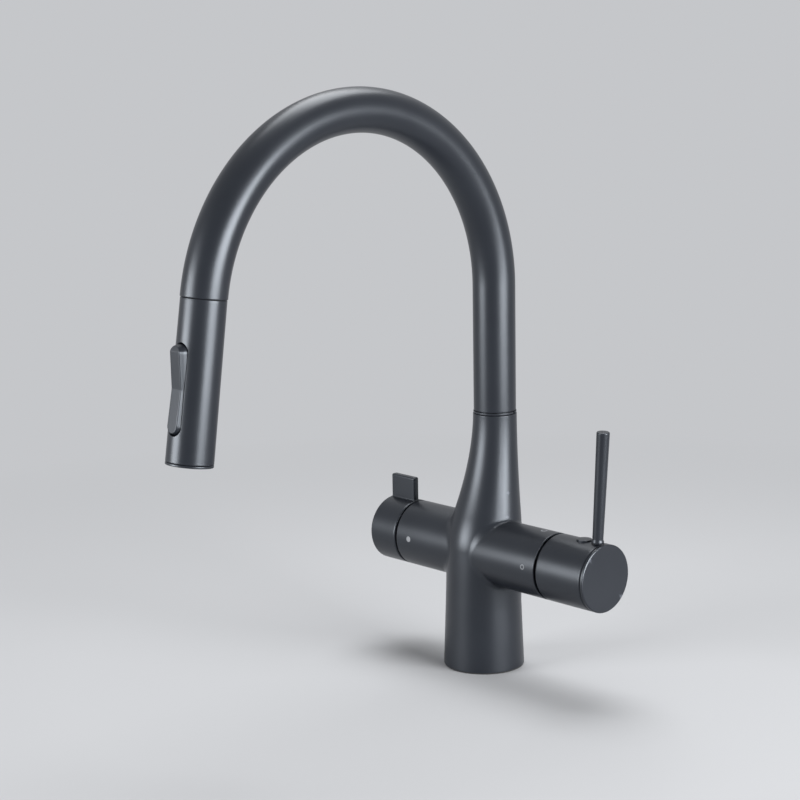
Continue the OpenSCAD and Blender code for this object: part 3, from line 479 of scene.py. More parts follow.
def zip_rings(faces, a, turn_a, b, turn_b, whole):
    """Triangles between two rings of any counts, by how far round each point lies."""
    i = j = 0
    while i < len(a) or j < len(b):
        next_a = turn_a[i + 1] if i + 1 < len(a) else turn_a[0] + whole if i < len(a) else inf
        next_b = turn_b[j + 1] if j + 1 < len(b) else turn_b[0] + whole if j < len(b) else inf
        if next_a < next_b:
            faces.append((a[i % len(a)], a[(i + 1) % len(a)], b[j % len(b)]))
            i += 1
        else:
            faces.append((a[i % len(a)], b[(j + 1) % len(b)], b[j % len(b)]))
            j += 1


def turned(name, body, profile, place, replaced=(), slot="satin_black", sides=128, closed=False,
           holes=(), flats=0):
    """A turned piece: a profile of (radius, along) swept round its own Z axis, with holes through
    its wall, or with flats across it as on a hexagon."""
    turns = full_turn(sides)
    flat_reach = np.full(sides, inf)
    if flats:
        part = 2 * pi / flats
        flat_r = max(r for r, _ in profile) * cos(part / 2)
        flat_reach = flat_r / np.cos((turns + part / 2) % part - part / 2)
    verts = []
    for r, z in profile:
        reach = np.minimum(r, flat_reach)
        verts += zip(reach * np.cos(turns), reach * np.sin(turns), np.full(sides, z))
    faces = []
    skipped = set()
    for hole in holes:
        low = hole["z"] - hole.get("straight", 0) / 2 - hole["r"] - hole["margin"]
        high = hole["z"] + hole.get("straight", 0) / 2 + hole["r"] + hole["margin"]
        rows = rows_within(profile, low, high, *hole["wall"])
        rings, cells, shares = hole_rings(verts, profile, sides, hole, rows, hole["lip"])
        skipped |= cells
        if "inner_wall" in hole:
            inner_rows = rows_within(profile, low, high, *hole["inner_wall"])
            inner, cells, inner_shares = hole_rings(verts, profile, sides, hole, inner_rows, 0)
            skipped |= cells
            zip_rings(faces, rings[-1], shares, inner[-1], inner_shares, 1)
            bridge(faces, *inner)
        else:
            middle = round(hole["turn"] / 360 * sides) * 2 * pi / sides
            drop = hole["depth"] - hole["lip"]
            floor = range(len(verts), len(verts) + len(rings[-1]))
            for x, y, z in [verts[i] for i in rings[-1]]:
                verts.append((x - drop * cos(middle), y - drop * sin(middle), z))
            rings.append(floor)
            faces.append(floor)
        bridge(faces, *rings)
    count = len(profile)
    for i in range(count if closed else count - 1):
        j = (i + 1) % count
        for k in range(sides):
            if (i, k) not in skipped:
                on = (k + 1) % sides
                faces.append((i * sides + k, i * sides + on, j * sides + on, j * sides + k))
    add_piece(name, body, filled(verts, faces), place, replaced, slot)


def ring_profile(outer, inner, low, high, fillet, inner_fillet=None, step=4):
    """A closed profile of a ring with rounded edges."""
    inside = fillet if inner_fillet is None else inner_fillet
    corners = [(outer, low, fillet), (outer, high, fillet), (inner, high, inside), (inner, low, inside)]
    return rounded(corners, closed=True, step=step)


# Materials, kept by name. The frame has materials of the same names, so their own names can differ
finishes = {}


def shader_nodes(name):
    """A new material's node tree and its shader."""
    finishes[name] = bpy.data.materials.new(name)
    finishes[name].use_nodes = True
    tree = finishes[name].node_tree
    return tree, tree.nodes["Principled BSDF"]


def set_inputs(tree, node, inputs):
    """Sets a shader node's sockets to values, or links them to other nodes' outputs."""
    for socket, value in inputs.items():
        if isinstance(value, bpy.types.NodeSocket):
            tree.links.new(value, node.inputs[socket])
        else:
            node.inputs[socket].default_value = value


def shader(tree, kind, inputs, output=0, **settings):
    """Adds a shader node and gives one of its outputs."""
    node = tree.nodes.new("ShaderNode" + kind)
    for setting, value in settings.items():
        setattr(node, setting, value)
    set_inputs(tree, node, inputs)
    return node.outputs[output]


def maths(tree, kind, a, b=0):
    return shader(tree, "Math", {0: a, 1: b}, operation=kind)


def own_place(tree):
    """A spot's place on the piece's own axes."""
    return shader(tree, "TexCoord", {}, "Object")


def noise(tree, scale, detail=4, stretch=(1, 1, 1)):
    """A noise texture on the piece's own coordinates, in cycles a metre."""
    place = shader(tree, "Mapping", {"Vector": own_place(tree), "Scale": stretch})
    return shader(tree, "TexNoise", {"Vector": place, "Scale": scale, "Detail": detail})


def between(tree, value, low, high, from_low=0.3, from_high=0.7):
    """Maps a value to a range."""
    limits = {"From Min": from_low, "From Max": from_high, "To Min": low, "To Max": high}
    return shader(tree, "MapRange", {"Value": value, **limits})


def mixed(tree, amount, a, b):
    """A colour between two, by an amount from a node. The first may come from a node too."""
    first = (*a, 1) if isinstance(a, tuple) else a
    return shader(tree, "Mix", {0: amount, 6: first, 7: (*b, 1)}, 2, data_type="RGBA")


def bumped(tree, height, depth, under=None):
    """A relief from a height, which may lie on another relief."""
    inputs = {"Height": height, "Distance": depth * MM}
    if under is not None:
        inputs["Normal"] = under
    return shader(tree, "Bump", inputs)


def edge_wear_and_highlight(tree, low, high):
    """How far a spot lies on an outer edge, where the colour turns lighter: partly wear, partly a painted
    highlight.
    """
    return between(tree, shader(tree, "NewGeometry", {}, "Pointiness"), 0, 1, low, high)


def surface(name, colour, other, rough, grain, patch=18, wear_and_highlight=None, specular=0.5, tint=(1, 1, 1)):
    """A finish with a fine grain in its relief, broad patches in its gloss and colour, and outer edges
    painted lighter: partly wear, partly a painted highlight.
    """
    tree, principled = shader_nodes(name)
    broad = noise(tree, patch, detail=5)
    fine = noise(tree, grain[0], detail=2)
    colours = mixed(tree, between(tree, broad, 0, 1), colour, other)
    # Lighter outer edges: partly wear, partly a painted edge highlight
    if wear_and_highlight:
        colours = mixed(tree, edge_wear_and_highlight(tree, 0.53, 0.62), colours, wear_and_highlight)
    set_inputs(tree, principled, {
        "Base Color": colours, "Roughness": between(tree, broad, *rough),
        "Specular IOR Level": specular, "Specular Tint": (*tint, 1),
        "Normal": bumped(tree, fine, grain[1]),
    })


def turned_metal(name, colour, other, rough, depth=0.006):
    """Machined metal: fine grooves round the piece's own axis."""
    tree, principled = shader_nodes(name)
    broad = noise(tree, 30)
    grooves = noise(tree, 2600, detail=2, stretch=(0.02, 0.02, 1))
    speck = noise(tree, 1200, detail=2)
    set_inputs(tree, principled, {
        "Metallic": 1.0, "Base Color": mixed(tree, between(tree, broad, 0, 1), colour, other),
        "Roughness": between(tree, grooves, *rough),
        "Normal": bumped(tree, grooves, depth, under=bumped(tree, speck, depth / 2)),
    })


def hose_weave(name, place=None, turns=12, pitch=9):
    """A braid: two sets of strands that cross round the hose's own axis."""
    tree, principled = shader_nodes(name)
    inputs = {"Vector": own_place(tree)}
    if place is not None:
        inputs.update({"Location": place.translation, "Rotation": place.to_euler()})
    spot = shader(tree, "Mapping", inputs, vector_type="TEXTURE")
    apart = shader(tree, "SeparateXYZ", {"Vector": spot}).node.outputs
    around = maths(tree, "MULTIPLY", maths(tree, "ARCTAN2", apart["Y"], apart["X"]), turns)
    along = maths(tree, "MULTIPLY", apart["Z"], pi * turns / (pitch * MM))
    left = maths(tree, "SINE", maths(tree, "ADD", around, along))
    right = maths(tree, "SINE", maths(tree, "SUBTRACT", around, along))
    over = maths(tree, "ABSOLUTE", maths(tree, "MAXIMUM", left, right))
    fine = noise(tree, 2500, detail=2)
    height = maths(tree, "ADD", over, maths(tree, "MULTIPLY", fine, 0.25))
    strand = between(tree, over, 0, 1, 0.1, 0.9)
    set_inputs(tree, principled, {
        "Base Color": mixed(tree, strand, (0.05, 0.052, 0.058), (0.2, 0.21, 0.23)),
        "Roughness": between(tree, fine, 0.45, 0.6), "Normal": bumped(tree, height, 0.25),
    })


# Satin black's lighter edge colour is partly wear and partly a painted edge highlight
surface("satin_black", (0.006, 0.0072, 0.0105), (0.008, 0.0094, 0.0132), (0.32, 0.38), (2600, 0.008),
        patch=22, wear_and_highlight=(0.06, 0.066, 0.08), specular=0.55, tint=(0.84, 0.91, 1.0))
surface("black_plastic", (0.016, 0.017, 0.019), (0.021, 0.022, 0.025), (0.46, 0.56), (1800, 0.02))
surface("black_rubber", (0.018, 0.018, 0.018), (0.026, 0.026, 0.027), (0.68, 0.82), (1100, 0.03))
surface("grey_silicone", (0.15, 0.16, 0.18), (0.18, 0.19, 0.21), (0.5, 0.6), (1500, 0.01))
turned_metal("brass", (0.58, 0.41, 0.17), (0.66, 0.48, 0.22), (0.24, 0.38))
turned_metal("steel", (0.52, 0.53, 0.55), (0.6, 0.61, 0.62), (0.22, 0.36))
surface("white_plastic", (0.76, 0.76, 0.73), (0.8, 0.8, 0.78), (0.38, 0.48), (1400, 0.012))
surface("ceramic", (0.84, 0.84, 0.81), (0.88, 0.88, 0.86), (0.08, 0.14), (3000, 0.002))
surface("print_grey", (0.2, 0.21, 0.23), (0.27, 0.28, 0.3), (0.5, 0.6), (2500, 0.004))
hose_weave("hose_braid")


# The casting's outside is where a field of distances is nought
def column_edges(z):
    """How far the column and neck stand out in front and behind at a height."""
    taper = BASE_R + (COLUMN_R - BASE_R) * z / TAPER_H
    left = np.maximum(NECK_TOP - z, 0) / (NECK_TOP - SHOULDER_H)
    sweep = NECK_FRONT + (SHOULDER_FRONT - NECK_FRONT) * left ** SWEEP
    share = np.clip((1 + (sweep - taper) / SHOULDER_BLEND) / 2, 0, 1)
    front = sweep + (taper - sweep) * share - SHOULDER_BLEND * share * (1 - share)
    rise = np.clip((z - TAPER_H) / (SHOULDER_H - TAPER_H), 0, 1)
    return front, np.where(z < TAPER_H, taper, COLUMN_R + (NECK_BACK - COLUMN_R) * rise)


def casting_field(points):
    """Distance from the casting's outside: the column and the arms, joined by a fillet that is small
    where they cross squarely and broad where they nearly run together."""
    x, y, z = points
    front, back = column_edges(z)
    off = y - (back - front) / 2
    round_column = np.hypot(x, off)
    round_arm = np.hypot(y, z - ARM_H)
    column = round_column - (front + back) / 2
    arm = round_arm - ARM_R
    alike = off / np.maximum(round_column, 1e-6) * y / np.maximum(round_arm, 1e-6)
    alike = np.clip(alike, 0, 1)
    fillet = (CREASE_R + BLEND_R * alike * (1 - alike)) * (1 - alike ** 4) + 1e-3
    into = np.hypot(np.maximum(fillet - column, 0), np.maximum(fillet - arm, 0))
    return np.maximum(fillet, np.minimum(column, arm)) - into


def field_slope(points, reach=0.01):
    slope = np.empty_like(points)
    for axis in range(3):
        shift = np.zeros((3, 1))
        shift[axis] = reach
        slope[axis] = (casting_field(points + shift) - casting_field(points - shift)) / (2 * reach)
    return slope


def surface_net(low, high, step):
    """Quads along the field's nought inside a box, with their points drawn on to it."""
    axes = [np.arange(a, b + step / 2, step) for a, b in zip(low, high)]
    grid = np.array(np.meshgrid(*axes, indexing="ij"))
    field = casting_field(grid)
    inside = field < 0
    halves = (slice(None, -1), slice(1, None))
    corners = [inside[i, j, k] for i in halves for j in halves for k in halves]
    active = np.any(corners, axis=0) & ~np.all(corners, axis=0)
    number = np.full(active.shape, -1)
    number[active] = np.arange(active.sum())
    cells = np.array(np.nonzero(active))
    points = np.array([axes[a][cells[a]] + step / 2 for a in range(3)])
    for _ in range(5):
        slope = field_slope(points)
        points = points - casting_field(points) * slope / (slope ** 2).sum(0)
    faces = []
    for axis in range(3):
        b, c = (axis + 1) % 3, (axis + 2) % 3
        first = np.moveaxis(inside, (axis, b, c), (0, 1, 2))
        near = np.moveaxis(number, (axis, b, c), (0, 1, 2))
        change = first[:-1, 1:-1, 1:-1] != first[1:, 1:-1, 1:-1]
        at = np.nonzero(change)
        u, v, w = at[0], at[1] + 1, at[2] + 1
        quad = np.array([near[u, v - 1, w - 1], near[u, v, w - 1], near[u, v, w], near[u, v - 1, w]])
        faces.append(quad.T)
    return points.T, np.concatenate(faces)


def open_points(quads):
    """The numbers of the points along a net's open edges."""
    sides = np.sort(np.concatenate([quads[:, [k, (k + 1) % 4]] for k in range(4)]), axis=1)
    edges, uses = np.unique(sides, axis=0, return_counts=True)
    return np.unique(edges[uses == 1])


def casting_outside():
    """The casting's points and faces as one closed solid with no bores yet."""
    low = (-NET_ARM, -BASE_R - 2, NET_LOW)
    high = (NET_ARM, NECK_BACK + 2, NET_HIGH)
    net, quads = surface_net(low, high, NET_STEP)
    points = [tuple(p) for p in net]
    faces = [tuple(q) for q in quads]
    turns = full_turn(CASTING_SIDES)

    def arm_ring(outward, along):
        radius = ARM_R + outward
        return [(along, radius * cos(t), ARM_H + radius * sin(t)) for t in turns]

    def column_ring(outward, height):
        front, back = column_edges(height)
        radius = (front + back) / 2 + outward
        middle = (back - front) / 2
        return [(radius * cos(t), middle + radius * sin(t), height) for t in turns]

    def close_end(rim, ring, start, stop, rows, turn_of):
        """Carries the net's open edge on to an end face with a rounded edge."""
        way = 1 if stop > start else -1
        rings = [ring(0, along) for along in np.linspace(start, stop - way * END_ROW, rows)]
        rings += [ring(outward, stop - way * short) for outward, short in reversed(edge_arc(0, EDGE))]
        rings.append(ring(-END_ROW, stop))
        more, more_faces = lofted(rings)
        first = len(points)
        points.extend(more)
        faces.extend(tuple(i + first for i in face) for face in more_faces)
        faces.append(range(len(points) - len(turns), len(points)))
        zipped = []
        for numbers in (rim, range(first, first + len(turns))):
            numbers = sorted(numbers, key=lambda i: turn_of(points[i]))
            zipped += [numbers, [turn_of(points[i]) for i in numbers]]
        zip_rings(faces, *zipped, 2 * pi)

    def arm_turn(point):
        return atan2(point[2] - ARM_H, point[1])

    rim = open_points(quads)
    x, z = net[rim, 0], net[rim, 2]
    past_column = (BASE_R + NET_ARM) / 2
    close_end(rim[x > past_column], arm_ring, NET_ARM + 1, MIXER_END, 8, arm_turn)
    close_end(rim[x < -past_column], arm_ring, -NET_ARM - 1, FILTER_END, 8, arm_turn)
    near = abs(x) < past_column
    for high_end, start, stop in ((True, NET_HIGH + 1, NECK_TOP), (False, NET_LOW - 1, FOOT_Z)):
        front, back = column_edges(stop)
        middle = (back - front) / 2
        close_end(rim[near & ((z > ARM_H) == high_end)], column_ring, start, stop, 5,
                  lambda point: atan2(point[1] - middle, point[0]))
    return points, faces


def solid_bar(radius, start, stop, sides=128):
    """A scratch bar for cutting, between two points in millimetres."""
    start, stop = Vector(start) * MM, Vector(stop) * MM
    build = bmesh.new()
    bmesh.ops.create_cone(build, cap_ends=True, segments=sides, radius1=radius * MM, radius2=radius * MM,
                          depth=(stop - start).length)
    mesh = bpy.data.meshes.new("bar")
    build.to_mesh(mesh)
    build.free()
    turn = Vector((0, 0, 1)).rotation_difference(stop - start).to_matrix().to_4x4()
    return new_object("bar", mesh, Matrix.Translation((start + stop) / 2) @ turn)


def cut_bars(piece, bars):
    """Takes scratch bars out of a piece's mesh."""
    for bar in bars:
        cutter = piece.modifiers.new("cut", "BOOLEAN")
        cutter.operation = "DIFFERENCE"
        cutter.solver = "MANIFOLD"
        cutter.object = bar
    bpy.context.view_layer.update()
    shown = piece.evaluated_get(bpy.context.evaluated_depsgraph_get())
    mesh = bpy.data.meshes.new_from_object(shown)
    piece.modifiers.clear()
    old = piece.data
    piece.data = mesh
    bpy.data.meshes.remove(old)
    for bar in bars:
        bar_mesh = bar.data
        bpy.data.objects.remove(bar)
        bpy.data.meshes.remove(bar_mesh)


def true_normals(mesh):
    """Gives the points on the field's nought the field's own normals, so that gloss runs smoothly."""
    count = len(mesh.vertices)
    places = np.empty(count * 3)
    mesh.vertices.foreach_get("co", places)
    places = places.reshape(-1, 3).T / MM
    slope = field_slope(places)
    slope /= np.linalg.norm(slope, axis=0)
    x, y, z = places
    on = (np.abs(casting_field(places)) < 0.02) & (z > FOOT_Z + 2 * EDGE) & (z < NECK_TOP - 2 * EDGE)
    on &= (x < MIXER_END - 2 * EDGE) & (x > FILTER_END + 2 * EDGE)
    corner_normals = np.zeros((len(mesh.loops), 3))
    for face in mesh.polygons:
        ids = list(face.vertices)
        if on[ids].all() and np.dot(slope[:, ids].mean(1), face.normal) > 0.8:
            for loop in face.loop_indices:
                corner_normals[loop] = slope[:, mesh.loops[loop].vertex_index]
    mesh.normals_split_custom_set(corner_normals.tolist())


def make_casting():
    """The casting, with the bores that open to the outside or hold the pieces inside."""
    piece = add_piece("casting_skin", None, filled(*casting_outside()))
    past = 2
    cut_bars(piece, [
        solid_bar(MANIFOLD_R, (0, 0, FOOT_Z - past), (0, 0, MANIFOLD_TOP)),
        solid_bar(MIXER_BORE, (MIXER_SEAT, 0, ARM_H), (MIXER_END + past, 0, ARM_H)),
        solid_bar(FILTER_BORE, (FILTER_END - past, 0, ARM_H), (FILTER_SEAT, 0, ARM_H)),
        solid_bar(PASSAGE_R, (0, SPOUT_BACK, MANIFOLD_TOP - past), (0, SPOUT_BACK, NECK_BORE_Z + past)),
        solid_bar(NECK_BORE, (0, SPOUT_BACK, NECK_BORE_Z), (0, SPOUT_BACK, NECK_TOP + past)),
        solid_bar(STOP_R, (0, SPOUT_BACK, STOP_Z), (0, NECK_BACK + past, STOP_Z), 48),
    ])
    smooth(piece.data)
    true_normals(piece.data)
    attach(piece, "base")
    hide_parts("body_casting")


def bend_ring(radius, turn, sides, drop=0):
    """Points round the gooseneck's middle line, at a turn along its bend or a drop below the bend."""
    centre = Vector((0, SPOUT_BACK - BEND_R * (1 - cos(turn)), BEND_H - drop + BEND_R * sin(turn)))
    across = Vector((0, cos(turn), sin(turn)))
    return [centre + Vector((radius * cos(t), 0, 0)) + across * radius * sin(t) for t in full_turn(sides)]


def make_spout():
    """The bent tube, with rounded lips."""
    rise = BEND_H - SPOUT_FOOT
    whole = rise + BEND_R * bend_end
    lip = edge_arc(SPOUT_R, SPOUT_LIP)
    outside = np.concatenate([
        np.linspace(SPOUT_LIP * 1.5, rise, 30), np.linspace(rise, whole - SPOUT_LIP * 1.5, 150)[1:]])
    inside = np.concatenate([np.linspace(whole, rise, 90), np.linspace(rise, 0, 12)[1:]])
    profile = lip + [(SPOUT_R, s) for s in outside] + [(r, whole - s) for r, s in reversed(lip)]
    profile += [(SPOUT_BORE, s) for s in inside]
    rings = [bend_ring(r, max(0, s - rise) / BEND_R, 128, max(0, rise - s)) for r, s in profile]
    add_piece("spout_skin", "spout", filled(*lofted(rings, loop=True)), replaced=["spout_tube"])


def head_radius(z):
    """The head's outer radius at a height in its own axes."""
    shell_end = HEAD_LEN - FACE_RING - FACE_SEAM
    return HEAD_TOP_R + (HEAD_END_R - HEAD_TOP_R) * np.clip(-z / shell_end, 0, 1)


def make_head_shell():
    """The head's sleeve, with the rocker's slot in front and the screw's hole at the back."""
    low = FACE_RING + FACE_SEAM - HEAD_LEN
    high = -HEAD_SEAM
    rows = np.arange(low + 2 * HEAD_LIP, high - 2 * HEAD_LIP, 1.5)
    outer = [(r, low + s) for r, s in edge_arc(HEAD_END_R, HEAD_LIP)]
    outer += [(head_radius(z), z) for z in rows]
    outer += [(r, high - s) for r, s in reversed(edge_arc(HEAD_TOP_R, HEAD_LIP))]
    inner = [(HEAD_BORE, z) for z in (high, *rows[::-1], low)]
    slot_r = ROCKER_W / 2 + SLOT_GAP
    walls = {"wall": (HEAD_TOP_R - 0.1, 20), "inner_wall": (HEAD_BORE - 0.1, HEAD_BORE + 0.1)}
    holes = [
        {"turn": 270, "z": -ROCKER_MID, "r": slot_r, "reach": 16, "margin": 3.2, "lip": 0.3,
         "straight": ROCKER_LEN + 2 * SLOT_END_GAP - 2 * slot_r, **walls},
        {"turn": 90, "z": -HEAD_SCREW_DROP, "r": HEAD_SCREW_R, "reach": 5, "margin": 1.6, "lip": 0.2,
         **walls},
    ]
    turned("head_shell_skin", "spray_head", outer + inner, head_frame, ["head_shell"], sides=160,
           closed=True, holes=holes)


def make_head_seat():
    """The rubber seat in the head's mouth, which makes the seam over the head dark."""
    seat = ring_profile(HEAD_BORE - 0.05, SEAT_BORE, -SEAT_DEPTH, -SEAT_GAP, 0.1, step=2)
    turned("head_seat", "spray_head", seat, head_frame, slot="black_rubber", sides=96, closed=True)


def rocker_height(z):
    """How far the rocker's face stands from the head's axis, by height above its waist."""
    if z < 0:
        return ROCKER_FACE - z * tan(radians(ROCKER_LOW_TILT))
    half = ROCKER_LEN / 2
    facet = half - ROCKER_TOP_FACET
    slope = tan(radians(ROCKER_TILT))
    if z < facet:
        return ROCKER_FACE + z * slope
    start = ROCKER_FACE + facet * slope
    top = ROCKER_FACE + half * slope - ROCKER_TOP_DROP
    return start + (top - start) * (z - facet) / (half - ROCKER_TOP_EDGE - facet)


def make_rocker():
    """The rocker: a long pill with a face that falls either way from its waist, and softened edges."""
    radius = ROCKER_W / 2
    straight = ROCKER_LEN - ROCKER_W
    draft = ROCKER_DRAFT
    depth = ROCKER_DRAFT_DEPTH
    sides = [(draft * t, depth + (0.6 - depth) * t) for t in np.linspace(0, 1, 5)]
    edge = [(draft + 0.04, 0.42), (draft + 0.14, 0.2), (draft + 0.3, 0.06), (draft + 0.5, 0.0)]
    inside = [(inset, 0.0) for inset in np.linspace(draft + 0.8, radius, 10)]

    def ring(inset, height):
        points = []
        for share in np.arange(240) / 240:
            side, up = slot_outline(share, radius, straight)
            anchor = Vector((0, max(-straight / 2, min(straight / 2, up))))
            spot = anchor + (Vector((side, up)) - anchor).normalized() * (radius - inset)
            points.append((spot.x, -height(spot.y), spot.y - ROCKER_MID))
        return points

    def back_height(up):
        return ROCKER_BACK + max(0, up) * tan(radians(ROCKER_TILT - ROCKER_LOW_TILT))

    rings = [ring(0.5, back_height), ring(0, lambda up: back_height(up) + 0.5)]
    for inset, drop in sides + edge + inside:
        rings.append(ring(inset, lambda up: rocker_height(up) - drop))
    verts, faces = lofted(rings)
    faces.append(range(len(rings[0])))
    add_piece("rocker_skin", "rocker_button", filled(verts, faces), head_frame, ["rocker"], sharp=28)
    pivot = (0, -ROCKER_PIVOT, -ROCKER_MID)
    across = head_frame @ base_frame(pivot, x=(0, 1, 0), y=(0, 0, 1), z=(1, 0, 0))
    inward = head_frame @ base_frame(pivot, x=(1, 0, 0), y=(0, 0, -1), z=(0, 1, 0))
    half = ROCKER_W / 2 - 0.9
    hub = rounded([(0, -half, 0), (HUB_R, -half, 0.2), (HUB_R, half, 0.2), (0, half, 0)], step=2)
    turned("rocker_hub", "rocker_button", hub, across, sides=48)
    finger = rounded([(0, 0, 0), (1, 0, 0.1), (0.8, FINGER_REACH, 0.3), (0, FINGER_REACH + 0.6, 0)], step=2)
    turned("rocker_finger", "rocker_button", finger, inward, sides=32)


def make_face():
    """The ring round the outlet, the spray plate with its nozzles, and the aerator."""
    end = -HEAD_LEN
    back = end + OUTLET_DEPTH
    ring = ring_profile(HEAD_END_R, HEAD_BORE, end, end + FACE_RING, 0.5, 0.3)
    turned("face_ring_skin", "spray_head", ring, head_frame, ["face_ring"], sides=160, closed=True)
    plate_bore = AERATOR_R + OUTLET_PLAY
    plate_front = end + PLATE_RECESS
    plate = rounded([
        (PLATE_R, plate_front, 0.3), (PLATE_R, back, 0.3), (plate_bore, back, 0.1),
        (plate_bore, plate_front, 0.25),
    ], closed=True, step=1)
    turned("spray_plate", "spray_head", plate, head_frame, ["spray_face"], "black_plastic", closed=True)
    root, tip, bore_end = end + NOZZLE_DEPTH, end + NOZZLE_RECESS, end + NOZZLE_BORE_END
    nipple = rounded([
        (0, root, 0), (NOZZLE_R, root, 0.1), (NOZZLE_R, end + NOZZLE_SHOULDER, 0.1),
        (NOZZLE_TIP_R, tip, 0.25), (NOZZLE_BORE, tip, 0.08), (NOZZLE_BORE, bore_end, 0.05), (0, bore_end, 0),
    ], step=2, steps=4)
    nozzles = []
    for turn in full_turn(NOZZLES):
        x, y = NOZZLE_RING * cos(turn), NOZZLE_RING * sin(turn)
        nozzles.append(lofted([circle(r, z, 20, x, y) for r, z in nipple]))
    add_piece("nozzles", "spray_head", filled(*joined(nozzles)), head_frame, ["spray_nozzles"],
              "grey_silicone")
    housing_front, housing_bore = end + AERATOR_RECESS, AERATOR_R - AERATOR_WALL
    housing = rounded([
        (AERATOR_R, housing_front, 0.25), (AERATOR_R, back, 0.2), (housing_bore, back, 0.2),
        (housing_bore, housing_front, 0.25),
    ], closed=True, step=2)
    turned("aerator_housing", "spray_head", housing, head_frame, ["aerator"], "black_plastic", sides=96,
           closed=True)
    make_aerator_grid(end + GRID_RECESS)


def make_aerator_grid(bottom):
    """Crossing bars that straighten the stream."""
    reach = AERATOR_R - AERATOR_WALL + 0.05
    half_bar = GRID_BAR / 2
    apart = 0.002
    bars = []

    def bar(x0, y0, x1, y1):
        corners = ((x0, y0), (x1, y0), (x1, y1), (x0, y1))
        bars.append(lofted([[(x, y, z) for x, y in corners] for z in (bottom, bottom + GRID_DEPTH)],
                           capped=True))

    steps = int(reach / GRID_PITCH)
    for k in range(-steps, steps + 1):
        across = k * GRID_PITCH
        half = sqrt(reach ** 2 - across ** 2)
        bar(across - half_bar, -half, across + half_bar, half)
        bar(-half, across - half_bar + apart, half, across + half_bar + apart)
    add_piece("aerator_grid", "spray_head", filled(*joined(bars)), head_frame, slot="black_plastic")


def knob_profile(start, stop, cavity, end):
    """A sleeve's profile from the middle of its cavity, out and round, and on through its end's corners."""
    return rounded([
        (0, cavity, 0), (KNOB_BORE, cavity, 0.4), (KNOB_BORE, start, 0.3), (ARM_R, start, MOUTH_EDGE),
        (ARM_R, stop, KNOB_EDGE), *end,
    ], step=1.4)


def make_mixer_knob():
    """The mixing knob's sleeve, end disc, screw plug and lever."""
    start, stop = MIXER_KNOB
    recess = stop - DISC_SPIGOT_T
    end = [(DISC_SPIGOT_R, stop, 0.2), (DISC_SPIGOT_R, recess, 0.2), (0, recess, 0)]
    profile = knob_profile(start, stop, MIXER_CAVITY, end)
    foot_r = LEVER_FOOT_R + 0.4
    holes = [
        {"turn": 90, "z": PLUG_X, "r": PLUG_R, "reach": 10, "margin": 1.4, "lip": 0.18,
         "wall": (ARM_R - 0.01, ARM_R + 0.01), "inner_wall": (KNOB_BORE - 0.01, KNOB_BORE + 0.01)},
        {"turn": 90, "z": LEVER_X, "r": foot_r, "reach": 8, "margin": min(stop - LEVER_X, 4.9) - foot_r,
         "lip": 0.12, "wall": (ARM_R - 1.1, ARM_R + 0.01), "depth": LEVER_RECESS},
    ]
    turned("mixer_sleeve", "mixer_handle", profile, mixer_frame, ["mixer_knob"], sides=144, holes=holes)
    spigot_r = DISC_SPIGOT_R - 0.05
    disc = rounded([
        (0, recess, 0), (spigot_r, recess, 0.2), (spigot_r, DISC_START, 0.15),
        (ARM_R, DISC_START, DISC_BACK_EDGE), (ARM_R, DISC_END - DISC_CHAMFER_T, 0.2),
        (ARM_R - DISC_CHAMFER, DISC_END, 0.12), (0, DISC_END, 0),
    ], step=2)
    turned("end_cap", "mixer_handle", disc, mixer_frame, ["mixer_end_disc"], sides=144)
    plug_r = PLUG_R - 0.05
    plug = rounded([
        (0, KNOB_BORE + 0.4, 0), (plug_r, KNOB_BORE + 0.4, 0.2), (plug_r, ARM_R + 0.85, 0.35),
        (PLUG_R - 1.1, ARM_R + 1.05, 0.3), (0, ARM_R + 1.2, 0),
    ], step=1)
    turned("plug_cap", "mixer_handle", plug, base_frame((PLUG_X, 0, ARM_H)), ["screw_plug"], sides=64)
    lever = rounded([
        (0, -LEVER_SHANK, 0), (LEVER_SHANK_R, -LEVER_SHANK, 0.3), (LEVER_SHANK_R, LEVER_SEAT, 0.05),
        (LEVER_COLLAR_R, LEVER_SEAT, 0.2), (LEVER_COLLAR_R, LEVER_COLLAR, 0.3),
        (LEVER_FOOT_R, LEVER_TAPER, 0.6), (LEVER_TIP_R, LEVER_LEN, 0.7), (0, LEVER_LEN, 0),
    ], step=4)
    turned("lever_pin", "mixer_handle", lever, lever_frame, ["pin_lever"], sides=64)


def make_filter_knob():
    """The filtered-water knob's sleeve, blade and hub."""
    start, stop = FILTER_KNOB
    profile = knob_profile(start, stop, FILTER_WALL, [(0, stop, 0)])
    turned("filter_sleeve", "filter_handle", profile, filter_frame, ["filter_knob"], sides=144)
    make_paddle(*(np.array(corner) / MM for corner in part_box("filter_paddle")))
    hub = ring_profile(FILTER_HUB_R, FILTER_HUB_BORE, start + 2, FILTER_WALL + 0.5, 0.3)
    turned("filter_hub", "filter_handle", hub, filter_frame, sides=64, closed=True)


